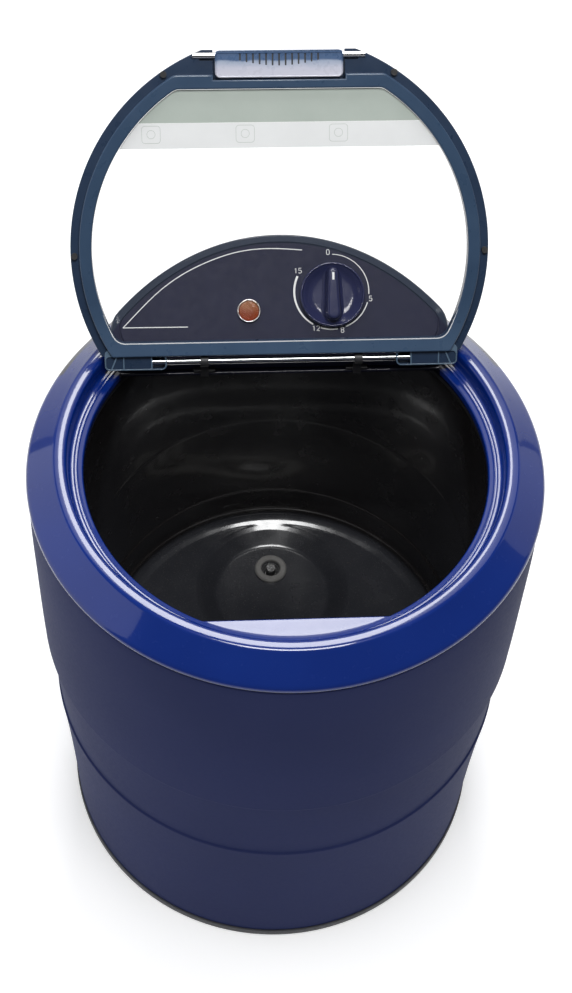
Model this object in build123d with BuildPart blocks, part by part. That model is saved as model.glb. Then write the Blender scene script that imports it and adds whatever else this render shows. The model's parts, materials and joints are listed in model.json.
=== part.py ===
from build123d import *
import math
import os

os.makedirs("parts", exist_ok=True)

# ---------------------------------------------------------------- driving sizes, mm
# Origin: centre of the cabinet on the floor. +Z up, front of the machine at -Y.
BASE_R = 244.7          # cabinet radius at the foot
BAND_Z0 = 249.0         # lower edge of the waist band
BAND_Z1 = 370.0         # upper edge of the waist band
BAND_R0 = 252.3         # cabinet radius at the lip under the band
BAND_R1 = 257.7         # cabinet radius just above the band
LOW_IN = 1.7            # depth of the band at its lower edge
HIGH_IN = 3.2           # depth of the band at its upper edge
CAB_TOP = 612.5         # cabinet shoulder under the ring
SHEET = 1.2             # cabinet sheet

RING_R = 256.3          # outer radius of the top ring
RING_BOTTOM = 615.4
OPEN_R = 200.0          # radius of the mouth
OPEN_FRONT = -180.0     # straight front edge of the mouth
OPEN_REAR = 114.8       # straight rear edge of the mouth
SEAT_Z = 621.0          # top of the ledge at the mouth
CROWN_Z = 643.2

TUB_R = 206.0           # inside radius of the tub
TUB_FLOOR = 236.0
TUB_T = 1.5
HUB_Y = 130.5           # the drive stands behind the middle of the tub
DISH_Y = 96.5           # middle of the round dish pressed into the floor
DISH_R = 90.0           # where the dish starts to fall away from the floor
DISH_Z = 222.0          # level of the dish
HUB_TOP = 226.4

HINGE_Y = 110.0
HINGE_Z = 646.7
LID_OPEN = 130.0        # degrees from closed
LID_R = 208.2
LID_C = 110.0           # hinge line to the centre of the lid's arc
LID_FRONT = 304.3       # hinge line to the straight front edge
WIN_R = 187.0
WIN_S0 = 18.5
WIN_S1 = 267.5

CON_TILT = 36.0         # slope of the console face
CON_Z = 630.0           # face height above the hinge line
CON_R = 250.5
CON_YC = -26.0
CON_Y0 = 121.0          # front wall of the console
KNOB_X, KNOB_T = 53.8, 75.2
LAMP_X, LAMP_T = -31.4, 60.5

MOTOR_Y = -58.0
BELT_Z = 75.0
BIG_R = 75.0
SMALL_R = 18.0

# ---------------------------------------------------------------- planes
a_lid = math.radians(180.0 - LID_OPEN)
# local x along the hinge, local y from the hinge to the lid's front, local z out of its inner face
LID = Plane(origin=(0, HINGE_Y, HINGE_Z), x_dir=(1, 0, 0),
            z_dir=(0, -math.sin(a_lid), math.cos(a_lid)))
a_con = math.radians(CON_TILT)
CON = Plane(origin=(0, HINGE_Y, CON_Z), x_dir=(1, 0, 0),
            z_dir=(0, -math.sin(a_con), math.cos(a_con)))
HUBP = Plane(origin=(0, HUB_Y, 0), x_dir=(1, 0, 0), z_dir=(0, -1, 0))
MOTP = Plane(origin=(0, MOTOR_Y, 0), x_dir=(1, 0, 0), z_dir=(0, -1, 0))
HUB_AXIS = Axis((0, HUB_Y, 0), (0, 0, 1))
DISHP = Plane(origin=(0, DISH_Y, 0), x_dir=(1, 0, 0), z_dir=(0, -1, 0))
DISH_AXIS = Axis((0, DISH_Y, 0), (0, 0, 1))
MOT_AXIS = Axis((0, MOTOR_Y, 0), (0, 0, 1))

# ================================================================ cabinet and base
# Foot rim: the one thing that stands on the floor, with a groove for the cabinet's edge.
with BuildPart() as base_rim:
    with BuildSketch(Plane.XZ):
        with BuildLine():
            Polyline((234, 0), (245.6, 0), (246.6, 1.5), (246.6, 12), (245.2, 13.5),
                     (245.2, 5.0), (243.2, 5.0), (243.2, 17.8), (234, 17.8), close=True)
        make_face()
    revolve(axis=Axis.Z)
base_rim.part.label = "base_rim"

# Drawn sheet cabinet, slightly full above and below a pressed-in waist band.
with BuildPart() as cabinet_shell:
    with BuildSketch(Plane.XZ):
        with BuildLine():
            o0 = Line((BASE_R, 5.4), (BASE_R + 0.3, 30))
            o1 = Spline(o0 @ 1, (246.0, 86), (248.5, 172), (BAND_R0, BAND_Z0 - 3))
            o2 = Spline(o1 @ 1, (BAND_R0 + 0.1, BAND_Z0 - 0.6), (BAND_R0 - LOW_IN, BAND_Z0 + 3))
            o3 = Line(o2 @ 1, (BAND_R1 - HIGH_IN, BAND_Z1 - 4))
            o4 = Spline(o3 @ 1, (BAND_R1 - 0.3, BAND_Z1 - 1), (BAND_R1, BAND_Z1 + 3))
            o5 = Spline(o4 @ 1, (257.9, 410), (257.2, 500), (256.6, 560), (254.9, CAB_TOP - 2))
            o6 = Line(o5 @ 1, (252.6, CAB_TOP))
            o7 = Line(o6 @ 1, (252.6, 617))
            o8 = Line(o7 @ 1, (252.6 - SHEET, 617))
            o9 = Line(o8 @ 1, (252.6 - SHEET, CAB_TOP - 0.8))
            i5 = Line(o9 @ 1, (253.6, CAB_TOP - 3))
            i4 = Spline(i5 @ 1, (255.4, 560), (256.0, 500), (256.7, 410), (BAND_R1 - SHEET, BAND_Z1 + 3))
            i3 = Line(i4 @ 1, (BAND_R1 - HIGH_IN - SHEET, BAND_Z1 - 4))
            i2 = Line(i3 @ 1, (BAND_R0 - LOW_IN - SHEET, BAND_Z0 + 3))
            i1 = Line(i2 @ 1, (BAND_R0 - SHEET, BAND_Z0 - 3))
            i0 = Spline(i1 @ 1, (248.5 - SHEET, 172), (246.0 - SHEET, 86), (BASE_R + 0.3 - SHEET, 30))
            ie = Line(i0 @ 1, (BASE_R - SHEET, 5.4))
            Line(ie @ 1, o0 @ 0)
        make_face()
    revolve(axis=Axis.Z)
    # rear holes for the drain spigot and the cord gland
    with BuildSketch(Plane(origin=(-90, 0, 92), x_dir=(-1, 0, 0), z_dir=(0, 1, 0))):
        Circle(13.2)
    extrude(amount=260, mode=Mode.SUBTRACT)
    with BuildSketch(Plane(origin=(70, 0, 92), x_dir=(-1, 0, 0), z_dir=(0, 1, 0))):
        Circle(8.2)
    extrude(amount=260, mode=Mode.SUBTRACT)
cabinet_shell.part.label = "cabinet_shell"

# Floor of the machine room, carried on the foot rim.
with BuildPart() as base_pan:
    with BuildSketch(Plane.XY.offset(18)):
        Circle(240)
        with PolarLocations(150, 8):
            SlotOverall(52, 7, rotation=90, mode=Mode.SUBTRACT)
    extrude(amount=3)
    with BuildSketch(Plane.XY.offset(21)):
        Circle(240)
        Circle(236.5, mode=Mode.SUBTRACT)
    extrude(amount=9)
    with BuildSketch(Plane.XY.offset(21)):
        Circle(70)
        Circle(66, mode=Mode.SUBTRACT)
    extrude(amount=5)
    with PolarLocations(238.2, 6, start_angle=30):
        Hole(radius=0.4, depth=1)
base_pan.part.label = "base_pan"

with BuildPart() as base_screws:
    with BuildSketch(Plane.XY.offset(21)):
        with PolarLocations(231, 6, start_angle=30):
            Circle(4)
    extrude(amount=2.4)
base_screws.part.label = "base_screws"

# ================================================================ top ring
with BuildPart() as top_ring:
    with BuildSketch(Plane.XZ):
        with BuildLine():
            r0 = Line((0, 618), (0, SEAT_Z))
            r1 = Line(r0 @ 1, (OPEN_R, SEAT_Z))
            r2 = Line(r1 @ 1, (213, 625))
            r3 = Line(r2 @ 1, (214.6, 637.4))
            r4 = Spline(r3 @ 1, (216.4, 640.3), (225.5, CROWN_Z), (237, 640.0), (248.4, 630.6), (254.2, 622.2), (RING_R, 617.4))
            r5 = Line(r4 @ 1, (RING_R - 0.2, RING_BOTTOM))
            r6 = Line(r5 @ 1, (RING_R - 3, RING_BOTTOM))
            r7 = Spline(r6 @ 1, (252.5, 620.4), (246.4, 629.6), (236.2, 637.2), (225.5, 640.2), (218.4, 637.6))
            r8 = Line(r7 @ 1, (215.8, 622.4))
            r9 = Line(r8 @ 1, (201, 618))
            Line(r9 @ 1, r0 @ 0)
        make_face()
    revolve(axis=Axis.Z)
    # short lip round the mouth, except along its rear edge
    with BuildSketch(Plane.XY.offset(613)):
        with BuildSketch(mode=Mode.PRIVATE) as mouth_out:
            Circle(OPEN_R + 3)
            with Locations((0, (OPEN_FRONT - 3 + OPEN_REAR) / 2)):
                Rectangle(2 * OPEN_R + 20, OPEN_REAR - OPEN_FRONT + 3, mode=Mode.INTERSECT)
        add(mouth_out.sketch)
    extrude(amount=6)
    with BuildSketch(Plane.XY.offset(590)):
        Circle(OPEN_R)
        with Locations((0, (OPEN_FRONT + OPEN_REAR) / 2)):
            Rectangle(2 * OPEN_R + 20, OPEN_REAR - OPEN_FRONT, mode=Mode.INTERSECT)
    extrude(amount=70, mode=Mode.SUBTRACT)
    # wire hole under the console
    with BuildSketch(Plane.XY.offset(590)):
        with Locations((-30, 211)):
            Circle(4.2)
    extrude(amount=70, mode=Mode.SUBTRACT)
top_ring.part.label = "top_ring"

# Pressed ring that bridges cabinet and tub and carries the tub's rolled edge.
with BuildPart() as tub_support_ring:
    with BuildSketch(Plane.XZ):
        with BuildLine():
            Polyline((207.9, 600), (253.0, 600), (253.0, 588), (251.4, 588), (251.4, 598.4),
                     (209.4, 598.4), (209.4, 590), (207.9, 590), close=True)
        make_face()
    revolve(axis=Axis.Z)
    with BuildSketch(Plane.XY.offset(585)):
        with Locations((-30, 211)):
            Circle(3.6)
    extrude(amount=20, mode=Mode.SUBTRACT)
tub_support_ring.part.label = "tub_support_ring"

# ================================================================ tub and drive seat
# Wall, two pressed steps into the floor, flat floor, and a shallow round dish that the drive stands in.
with BuildPart() as tub:
    with BuildSketch(Plane.XZ):
        with BuildLine():
            t0 = Line((0, TUB_FLOOR), (192, TUB_FLOOR))
            t1 = ThreePointArc(t0 @ 1, (196.4, 238.4), (198.6, 244.6))
            t2 = Line(t1 @ 1, (200.2, 247.6))
            t3 = ThreePointArc(t2 @ 1, (202.2, 251), (203, 256))
            t4 = Line(t3 @ 1, (204.0, 281.5))
            t5 = ThreePointArc(t4 @ 1, (204.6, 284.2), (TUB_R, 286.5))
            t6 = Line(t5 @ 1, (TUB_R, 419))
            t7 = ThreePointArc(t6 @ 1, (TUB_R - 0.9, 423.5), (TUB_R, 428))
            t8 = Line(t7 @ 1, (TUB_R, 602.0))
            t9 = Line(t8 @ 1, (209.4, 602.0))
            ta = Line(t9 @ 1, (209.4, 600.1))
            tb = Line(ta @ 1, (207.6, 600.1))
            tc = Line(tb @ 1, (207.6, 285.4))
            td = Line(tc @ 1, (205.6, 281.5))
            te = Line(td @ 1, (204.6, 255.4))
            tf = Line(te @ 1, (201.4, 246.6))
            tg = ThreePointArc(tf @ 1, (198.2, 237.6), (192, TUB_FLOOR - TUB_T))
            th = Line(tg @ 1, (0, TUB_FLOOR - TUB_T))
            Line(th @ 1, t0 @ 0)
        make_face()
    revolve(axis=Axis.Z)
    with BuildSketch(Plane.XY.offset(TUB_FLOOR - 6)):
        with Locations((0, DISH_Y)):
            Circle(DISH_R)
        with Locations((-110, -60)):
            Circle(16)
    extrude(amount=12, mode=Mode.SUBTRACT)
    with BuildSketch(DISHP):
        with BuildLine():
            h0 = Spline((DISH_R, TUB_FLOOR), (86.6, 235.3), (83.6, 233.5))
            h1 = Line(h0 @ 1, (70.4, 224.5))
            h2 = Spline(h1 @ 1, (67.0, 222.6), (63.0, DISH_Z))
            h3 = Line(h2 @ 1, (0, DISH_Z))
            h4 = Line(h3 @ 1, (0, DISH_Z - TUB_T))
            h5 = Line(h4 @ 1, (62.8, DISH_Z - TUB_T))
            h6 = Spline(h5 @ 1, (66.4, 221.1), (69.5, 223.0))
            h7 = Line(h6 @ 1, (82.7, 232.1))
            h8 = Spline(h7 @ 1, (86.2, 233.9), (DISH_R, TUB_FLOOR - TUB_T))
            Line(h8 @ 1, h0 @ 0)
        make_face()
    revolve(axis=DISH_AXIS)
    with BuildSketch(Plane.XY.offset(DISH_Z - 6)):
        with Locations((0, HUB_Y)):
            Circle(10.4)
    extrude(amount=12, mode=Mode.SUBTRACT)
tub.part.label = "tub"

with BuildPart() as tub_seal:
    with BuildSketch(Plane.XZ):
        with BuildLine():
            Polyline((203.3, 600), (205.8, 600), (205.8, 602.2), (209.2, 602.2), (209.2, 612),
                     (207.4, 612), (205.2, 605), (203.3, 605), close=True)
        make_face()
    revolve(axis=Axis.Z)
tub_seal.part.label = "tub_seal"

# Grey ring clamped on the dish. Its bore is the socket that the agitator drops into.
with BuildPart() as hub_ring:
    with BuildSketch(HUBP):
        with BuildLine():
            Polyline((11.2, 222.1), (19.2, 222.1), (19.2, 224.8), (17.6, HUB_TOP), (12.3, HUB_TOP), (11.2, 225.3), close=True)
        make_face()
    revolve(axis=HUB_AXIS)
hub_ring.part.label = "hub_ring"

with BuildPart() as bearing_housing:
    with BuildSketch(HUBP):
        with BuildLine():
            Polyline((10.3, 220.4), (15.2, 220.4), (15.2, 213), (20, 208.5), (34, 206), (34, 201.1), (19.4, 201.1),
                     (19.4, 150), (9.0, 150), (9.0, 208), (10.3, 208), close=True)
        make_face()
    revolve(axis=HUB_AXIS)
bearing_housing.part.label = "bearing_housing"

with BuildPart() as upper_bush:
    with BuildSketch(HUBP):
        with Locations(((6.55 + 8.98) / 2, 198.8)):
            Rectangle(8.98 - 6.55, 18)
    revolve(axis=HUB_AXIS)
upper_bush.part.label = "upper_bush"

with BuildPart() as lower_bush:
    with BuildSketch(HUBP):
        with Locations(((6.55 + 8.98) / 2, 161)):
            Rectangle(8.98 - 6.55, 18)
    revolve(axis=HUB_AXIS)
lower_bush.part.label = "lower_bush"

with BuildPart() as shaft_seal:
    with BuildSketch(HUBP):
        with BuildLine():
            Polyline((6.56, 208.2), (10.2, 208.2), (10.2, 212.4), (8.4, 212.4), (6.56, 211.0), close=True)
        make_face()
    revolve(axis=HUB_AXIS)
shaft_seal.part.label = "shaft_seal"

# Drive shaft: plain where it runs in the bushes, fluted where the agitator sits.
with BuildPart() as drive_shaft:
    with BuildSketch(HUBP):
        with BuildLine():
            Polyline((0, 54), (6.5, 54), (6.5, 212.5), (6.0, 212.5), (6.0, 225.4), (5.3, 226.1), (0, 226.1), close=True)
        make_face()
    revolve(axis=HUB_AXIS)
    with BuildSketch(Plane.XY.offset(214)):
        with Locations((0, HUB_Y)):
            with PolarLocations(6.1, 6, start_angle=6):
                Circle(0.5)
    extrude(amount=20, mode=Mode.SUBTRACT)
drive_shaft.part.label = "drive_shaft"

with BuildPart() as driven_pulley:
    with BuildSketch(HUBP):
        with BuildLine():
            Polyline((6.5, 62), (14, 62), (14, 72), (62, 72), (62, 68), (BIG_R, 68), (BIG_R, 69.6), (66, 71),
                     (66, 79), (BIG_R, 80.4), (BIG_R, 82), (62, 82), (62, 77), (14, 77), (14, 88), (6.5, 88), close=True)
        make_face()
    revolve(axis=HUB_AXIS)
    with BuildSketch(Plane.XY.offset(60)):
        with Locations((0, HUB_Y)):
            with PolarLocations(38, 5):
                Circle(13)
    extrude(amount=30, mode=Mode.SUBTRACT)
driven_pulley.part.label = "driven_pulley"

with BuildPart() as pulley_nut:
    with BuildSketch(Plane.XY.offset(55)):
        with Locations((0, HUB_Y)):
            RegularPolygon(radius=11, side_count=6)
            Circle(6.5, mode=Mode.SUBTRACT)
    extrude(amount=6.8)
pulley_nut.part.label = "pulley_nut"

# Steel plate under the tub that carries both the bearing housing and the motor.
with BuildPart() as drive_frame:
    with BuildSketch(Plane.XY.offset(198)):
        with Locations((0, 32)):
            RectangleRounded(176, 300, 14)
        with Locations((0, 150)):
            RectangleRounded(204, 64, 14)
        with Locations((0, HUB_Y)):
            Circle(19.6, mode=Mode.SUBTRACT)
        with Locations((0, MOTOR_Y)):
            Circle(30, mode=Mode.SUBTRACT)
        with Locations((0, 32)):
            RectangleRounded(70, 46, 8, mode=Mode.SUBTRACT)
    extrude(amount=3)
drive_frame.part.label = "drive_frame"

SPACERS = [(-88, 160), (88, 160), (-75, -100), (75, -100)]
with BuildPart() as frame_spacers:
    with BuildSketch(Plane.XY.offset(201.1)):
        with Locations(*SPACERS):
            Circle(8)
    extrude(amount=TUB_FLOOR - TUB_T - 0.1 - 201.1)
frame_spacers.part.label = "frame_spacers"

with BuildPart() as frame_nuts:
    with BuildSketch(Plane.XY.offset(191.5)):
        with Locations(*SPACERS):
            RegularPolygon(radius=8, side_count=6)
    extrude(amount=6.4)
frame_nuts.part.label = "frame_nuts"

# ================================================================ motor and belt
with BuildPart() as motor_housing:
    with BuildSketch(MOTP):
        with BuildLine():
            Polyline((12.2, 96), (56, 96), (58, 99), (58, 181), (56, 184), (12.2, 184), (12.2, 181), (54.6, 181),
                     (54.6, 99), (12.2, 99), close=True)
        make_face()
    revolve(axis=MOT_AXIS)
motor_housing.part.label = "motor_housing"

with BuildPart() as motor_stator:
    with BuildSketch(MOTP):
        with Locations(((36 + 54.4) / 2, 140)):
            Rectangle(54.4 - 36, 60)
    revolve(axis=MOT_AXIS)
motor_stator.part.label = "motor_stator"

with BuildPart() as motor_rotor:
    with BuildSketch(MOTP):
        with BuildLine():
            Polyline((0, 62), (6, 62), (6, 112), (35, 112), (35, 168), (6, 168), (6, 183), (0, 183), close=True)
        make_face()
    revolve(axis=MOT_AXIS)
motor_rotor.part.label = "motor_rotor"

with BuildPart() as motor_bearings:
    with BuildSketch(MOTP):
        with Locations(((6.05 + 12.1) / 2, 100.5), ((6.05 + 12.1) / 2, 179.5)):
            Rectangle(12.1 - 6.05, 8)
    revolve(axis=MOT_AXIS)
motor_bearings.part.label = "motor_bearings"

with BuildPart() as motor_pulley:
    with BuildSketch(MOTP):
        with BuildLine():
            Polyline((6, 66), (SMALL_R, 66), (SMALL_R, 69.6), (12, 71), (12, 79), (SMALL_R, 80.4), (SMALL_R, 84), (6, 84), close=True)
        make_face()
    revolve(axis=MOT_AXIS)
motor_pulley.part.label = "motor_pulley"

with BuildPart() as drive_belt:
    with BuildSketch(Plane.XY.offset(BELT_Z - 3.4)):
        with BuildSketch(mode=Mode.PRIVATE) as belt_out:
            with Locations((0, HUB_Y)):
                Circle(72.6)
            with Locations((0, MOTOR_Y)):
                Circle(18.4)
            make_hull()
        with BuildSketch(mode=Mode.PRIVATE) as belt_in:
            with Locations((0, HUB_Y)):
                Circle(66.6)
            with Locations((0, MOTOR_Y)):
                Circle(12.5)
            make_hull()
        add(belt_out.sketch)
        add(belt_in.sketch, mode=Mode.SUBTRACT)
    extrude(amount=6.8)
drive_belt.part.label = "drive_belt"

MOUNTS = [(-38, MOTOR_Y - 38), (38, MOTOR_Y - 38), (-38, MOTOR_Y + 38), (38, MOTOR_Y + 38)]
with BuildPart() as rubber_mounts:
    with BuildSketch(Plane.XY.offset(184.1)):
        with Locations(*MOUNTS):
            Circle(9)
    extrude(amount=13.8)
rubber_mounts.part.label = "rubber_mounts"

with BuildPart() as motor_bolts:
    with BuildSketch(Plane.XY.offset(201.1)):
        with Locations(*MOUNTS):
            RegularPolygon(radius=6.4, side_count=6)
    extrude(amount=4)
motor_bolts.part.label = "motor_bolts"

with BuildPart() as capacitor:
    with BuildSketch(Plane.XY.offset(23)):
        with Locations((140, -70)):
            Circle(17)
    extrude(amount=72)
capacitor.part.label = "capacitor"

with BuildPart() as capacitor_clamp:
    with BuildSketch(Plane.XY.offset(21.1)):
        with Locations((140, -70)):
            Circle(19)
            Circle(17.1, mode=Mode.SUBTRACT)
    extrude(amount=34)
    with BuildSketch(Plane.XY.offset(21.1)):
        with Locations((164, -70)):
            Rectangle(14, 16)
    extrude(amount=2.5)
capacitor_clamp.part.label = "capacitor_clamp"

# ================================================================ drain
with BuildPart() as drain_strainer:
    with BuildSketch(Plane.XY.offset(TUB_FLOOR + 0.1)):
        with Locations((-110, -60)):
            Circle(22)
            with PolarLocations(11, 8):
                SlotOverall(9, 2.6, rotation=0, mode=Mode.SUBTRACT)
    extrude(amount=2.2)
drain_strainer.part.label = "drain_strainer"

with BuildPart() as drain_outlet:
    with BuildSketch(Plane.XY.offset(206)):
        with Locations((-110, -60)):
            Circle(15.8)
            Circle(12.8, mode=Mode.SUBTRACT)
    extrude(amount=29.8)
    with BuildSketch(Plane.XY.offset(230.8)):
        with Locations((-110, -60)):
            Circle(22)
            Circle(12.8, mode=Mode.SUBTRACT)
    extrude(amount=3.6)
drain_outlet.part.label = "drain_outlet"

HOSE_PTS = [(-110, -60, 205.8), (-110, -60, 150), (-112, -25, 104), (-104, 45, 92), (-90, 110, 92), (-90, 196, 92)]
with BuildPart() as drain_hose_inner:
    with BuildLine() as hose_line:
        FilletPolyline(*HOSE_PTS, radius=[38, 38, 60, 60])
    with BuildSketch(Plane(origin=hose_line.line @ 0, z_dir=hose_line.line % 0)):
        Circle(12.4)
        Circle(10, mode=Mode.SUBTRACT)
    sweep()
drain_hose_inner.part.label = "drain_hose_inner"
hose_len = sum(e.length for e in hose_line.line.edges())
print("drain_hose_inner length", round(hose_len, 1), "radii 38 38 60 60, volume", round(drain_hose_inner.part.volume),
      "section x length", round(math.pi * (12.4**2 - 100) * hose_len))

# Rear spigot that an outside hose pushes onto.
SPIG_Y = math.sqrt(246.2**2 - 90**2)
with BuildPart() as drain_spigot:
    with BuildSketch(Plane(origin=(-90, 196.2, 92), x_dir=(-1, 0, 0), z_dir=(0, 1, 0))):
        Circle(11)
        Circle(8.4, mode=Mode.SUBTRACT)
    extrude(amount=64)
    with BuildSketch(Plane(origin=(-90, 208, 92), x_dir=(-1, 0, 0), z_dir=(0, 1, 0))):
        Circle(12.9)
        Circle(8.4, mode=Mode.SUBTRACT)
    extrude(amount=30)
drain_spigot.part.label = "drain_spigot"

with BuildPart() as cord_gland:
    with BuildSketch(Plane(origin=(70, 222, 92), x_dir=(-1, 0, 0), z_dir=(0, 1, 0))):
        Circle(8.0)
        Circle(4.0, mode=Mode.SUBTRACT)
    extrude(amount=22)
    with BuildSketch(Plane(origin=(70, 241.4, 92), x_dir=(-1, 0, 0), z_dir=(0, 1, 0))):
        Circle(11.5)
        Circle(4.0, mode=Mode.SUBTRACT)
    extrude(amount=5)
cord_gland.part.label = "cord_gland"

# ================================================================ console
with BuildPart() as ring_clear:
    # the ring's upper surface with a hair of clearance, used only to shape the console's foot
    with BuildSketch(Plane.XZ):
        with BuildLine():
            c0 = Polyline((0, 560), (0, SEAT_Z + 0.2), (OPEN_R, SEAT_Z + 0.2), (212.6, 625.3), (214.2, 637.6))
            c1 = Spline(c0 @ 1, (216.2, 640.7), (225.5, CROWN_Z + 0.3), (237.2, 640.3), (248.7, 630.9), (254.5, 622.4), (256.6, 617.4))
            Polyline(c1 @ 1, (256.6, 560), c0 @ 0)
        make_face()
    revolve(axis=Axis.Z)

with BuildPart() as console_cover:
    with BuildSketch(Plane.XY.offset(600)):
        with Locations((0, CON_YC)):
            Circle(CON_R)
        with Locations((0, CON_Y0 + 100)):
            Rectangle(520, 200, mode=Mode.INTERSECT)
    extrude(amount=160)
    split(bisect_by=CON, keep=Keep.BOTTOM)
    rim = console_cover.part.faces().sort_by(lambda f: f.normal_at().dot(CON.z_dir))[-1]
    fillet(rim.edges().sort_by(SortBy.LENGTH)[-1], radius=3)
    with BuildSketch(Plane.XY.offset(590), mode=Mode.PRIVATE) as con_in:
        with Locations((0, CON_YC)):
            Circle(CON_R - 3)
        with Locations((0, CON_Y0 + 103)):
            Rectangle(520, 200, mode=Mode.INTERSECT)
    hollow = split(objects=extrude(con_in.sketch, amount=170, mode=Mode.PRIVATE), bisect_by=CON.offset(-3),
                   keep=Keep.BOTTOM, mode=Mode.PRIVATE)
    add(hollow, mode=Mode.SUBTRACT)
    add(ring_clear.part, mode=Mode.SUBTRACT)
    with BuildSketch(CON.offset(2)):
        with Locations((KNOB_X, KNOB_T)):
            Circle(5)
        with Locations((LAMP_X, LAMP_T)):
            Circle(9)
    extrude(amount=-12, mode=Mode.SUBTRACT)
console_cover.part.label = "console_cover"

with BuildPart() as timer_body:
    with BuildSketch(CON.offset(-3.1)):
        with Locations((KNOB_X, KNOB_T)):
            RectangleRounded(52, 46, 3)
    extrude(amount=-26)
    with BuildSketch(CON.offset(-3.1)):
        with Locations((KNOB_X, KNOB_T)):
            Circle(3.05)
    extrude(amount=-20, mode=Mode.SUBTRACT)
timer_body.part.label = "timer_body"

with BuildPart() as timer_spindle:
    with BuildSketch(CON.offset(-20)):
        with Locations((KNOB_X, KNOB_T)):
            Circle(3.0)
    extrude(amount=36)
timer_spindle.part.label = "timer_spindle"

with BuildPart() as timer_knob:
    with BuildSketch(CON.offset(0.6)):
        with Locations((KNOB_X, KNOB_T)):
            Circle(32.5)
    extrude(amount=5.4, taper=6)
    with BuildSketch(CON.offset(6.0)):
        with Locations((KNOB_X, KNOB_T)):
            Circle(27)
            Circle(23, mode=Mode.SUBTRACT)
    extrude(amount=3, taper=4)
    with BuildSketch(CON.offset(6.0)):
        with Locations((KNOB_X, KNOB_T)):
            SlotOverall(56, 11, rotation=90)
    extrude(amount=15, taper=4)
    with BuildSketch(CON.offset(0)):
        with Locations((KNOB_X, KNOB_T)):
            Circle(3.0)
    extrude(amount=16, mode=Mode.SUBTRACT)
timer_knob.part.label = "timer_knob"

with BuildPart() as lamp_body:
    with BuildSketch(CON.offset(-25)):
        with Locations((LAMP_X, LAMP_T)):
            Circle(8.8)
    extrude(amount=25.1)
lamp_body.part.label = "lamp_body"

with BuildPart() as lamp_bezel:
    with BuildSketch(CON.offset(0.2)):
        with Locations((LAMP_X, LAMP_T)):
            Circle(12.2)
            Circle(10.3, mode=Mode.SUBTRACT)
    extrude(amount=2.6)
lamp_bezel.part.label = "lamp_bezel"

with BuildPart() as lamp_lens:
    with BuildSketch(CON.offset(0.2)):
        with Locations((LAMP_X, LAMP_T)):
            Circle(10.2)
    extrude(amount=3.6, taper=12)
lamp_lens.part.label = "lamp_lens"

WIRE_PTS = [(-30, 211, 648), (-30, 211, 560), (-31, 211.6, 300), (-26, 212.2, 232)]
with BuildPart() as wiring_harness:
    with BuildLine() as wire_line:
        FilletPolyline(*WIRE_PTS, radius=[600, 300])
    with BuildSketch(Plane(origin=wire_line.line @ 0, z_dir=wire_line.line % 0)):
        Circle(2.4)
    sweep()
wiring_harness.part.label = "wiring_harness"

# ================================================================ hinge
with BuildPart() as hinge_rod:
    with BuildSketch(Plane(origin=(-176, HINGE_Y, HINGE_Z), x_dir=(0, 1, 0), z_dir=(1, 0, 0))):
        Circle(3.5)
    extrude(amount=352)
hinge_rod.part.label = "hinge_rod"

with BuildPart() as hinge_bracket_left:
    with BuildSketch(Plane(origin=(-82, HINGE_Y, HINGE_Z), x_dir=(0, 1, 0), z_dir=(1, 0, 0))):
        Circle(5.8)
        with Locations((3.0, -12.5)):
            Rectangle(5.6, 25)
        Circle(3.5, mode=Mode.SUBTRACT)
    extrude(amount=8)
    with BuildSketch(Plane.XY.offset(SEAT_Z + 0.1)):
        with Locations((-78, HINGE_Y + 8.0)):
            Rectangle(22, 5.6)
    extrude(amount=3)
hinge_bracket_left.part.label = "hinge_bracket_left"

with BuildPart() as hinge_bracket_right:
    with BuildSketch(Plane(origin=(74, HINGE_Y, HINGE_Z), x_dir=(0, 1, 0), z_dir=(1, 0, 0))):
        Circle(5.8)
        with Locations((3.0, -12.5)):
            Rectangle(5.6, 25)
        Circle(3.5, mode=Mode.SUBTRACT)
    extrude(amount=8)
    with BuildSketch(Plane.XY.offset(SEAT_Z + 0.1)):
        with Locations((78, HINGE_Y + 8.0)):
            Rectangle(22, 5.6)
    extrude(amount=3)
hinge_bracket_right.part.label = "hinge_bracket_right"

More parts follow.
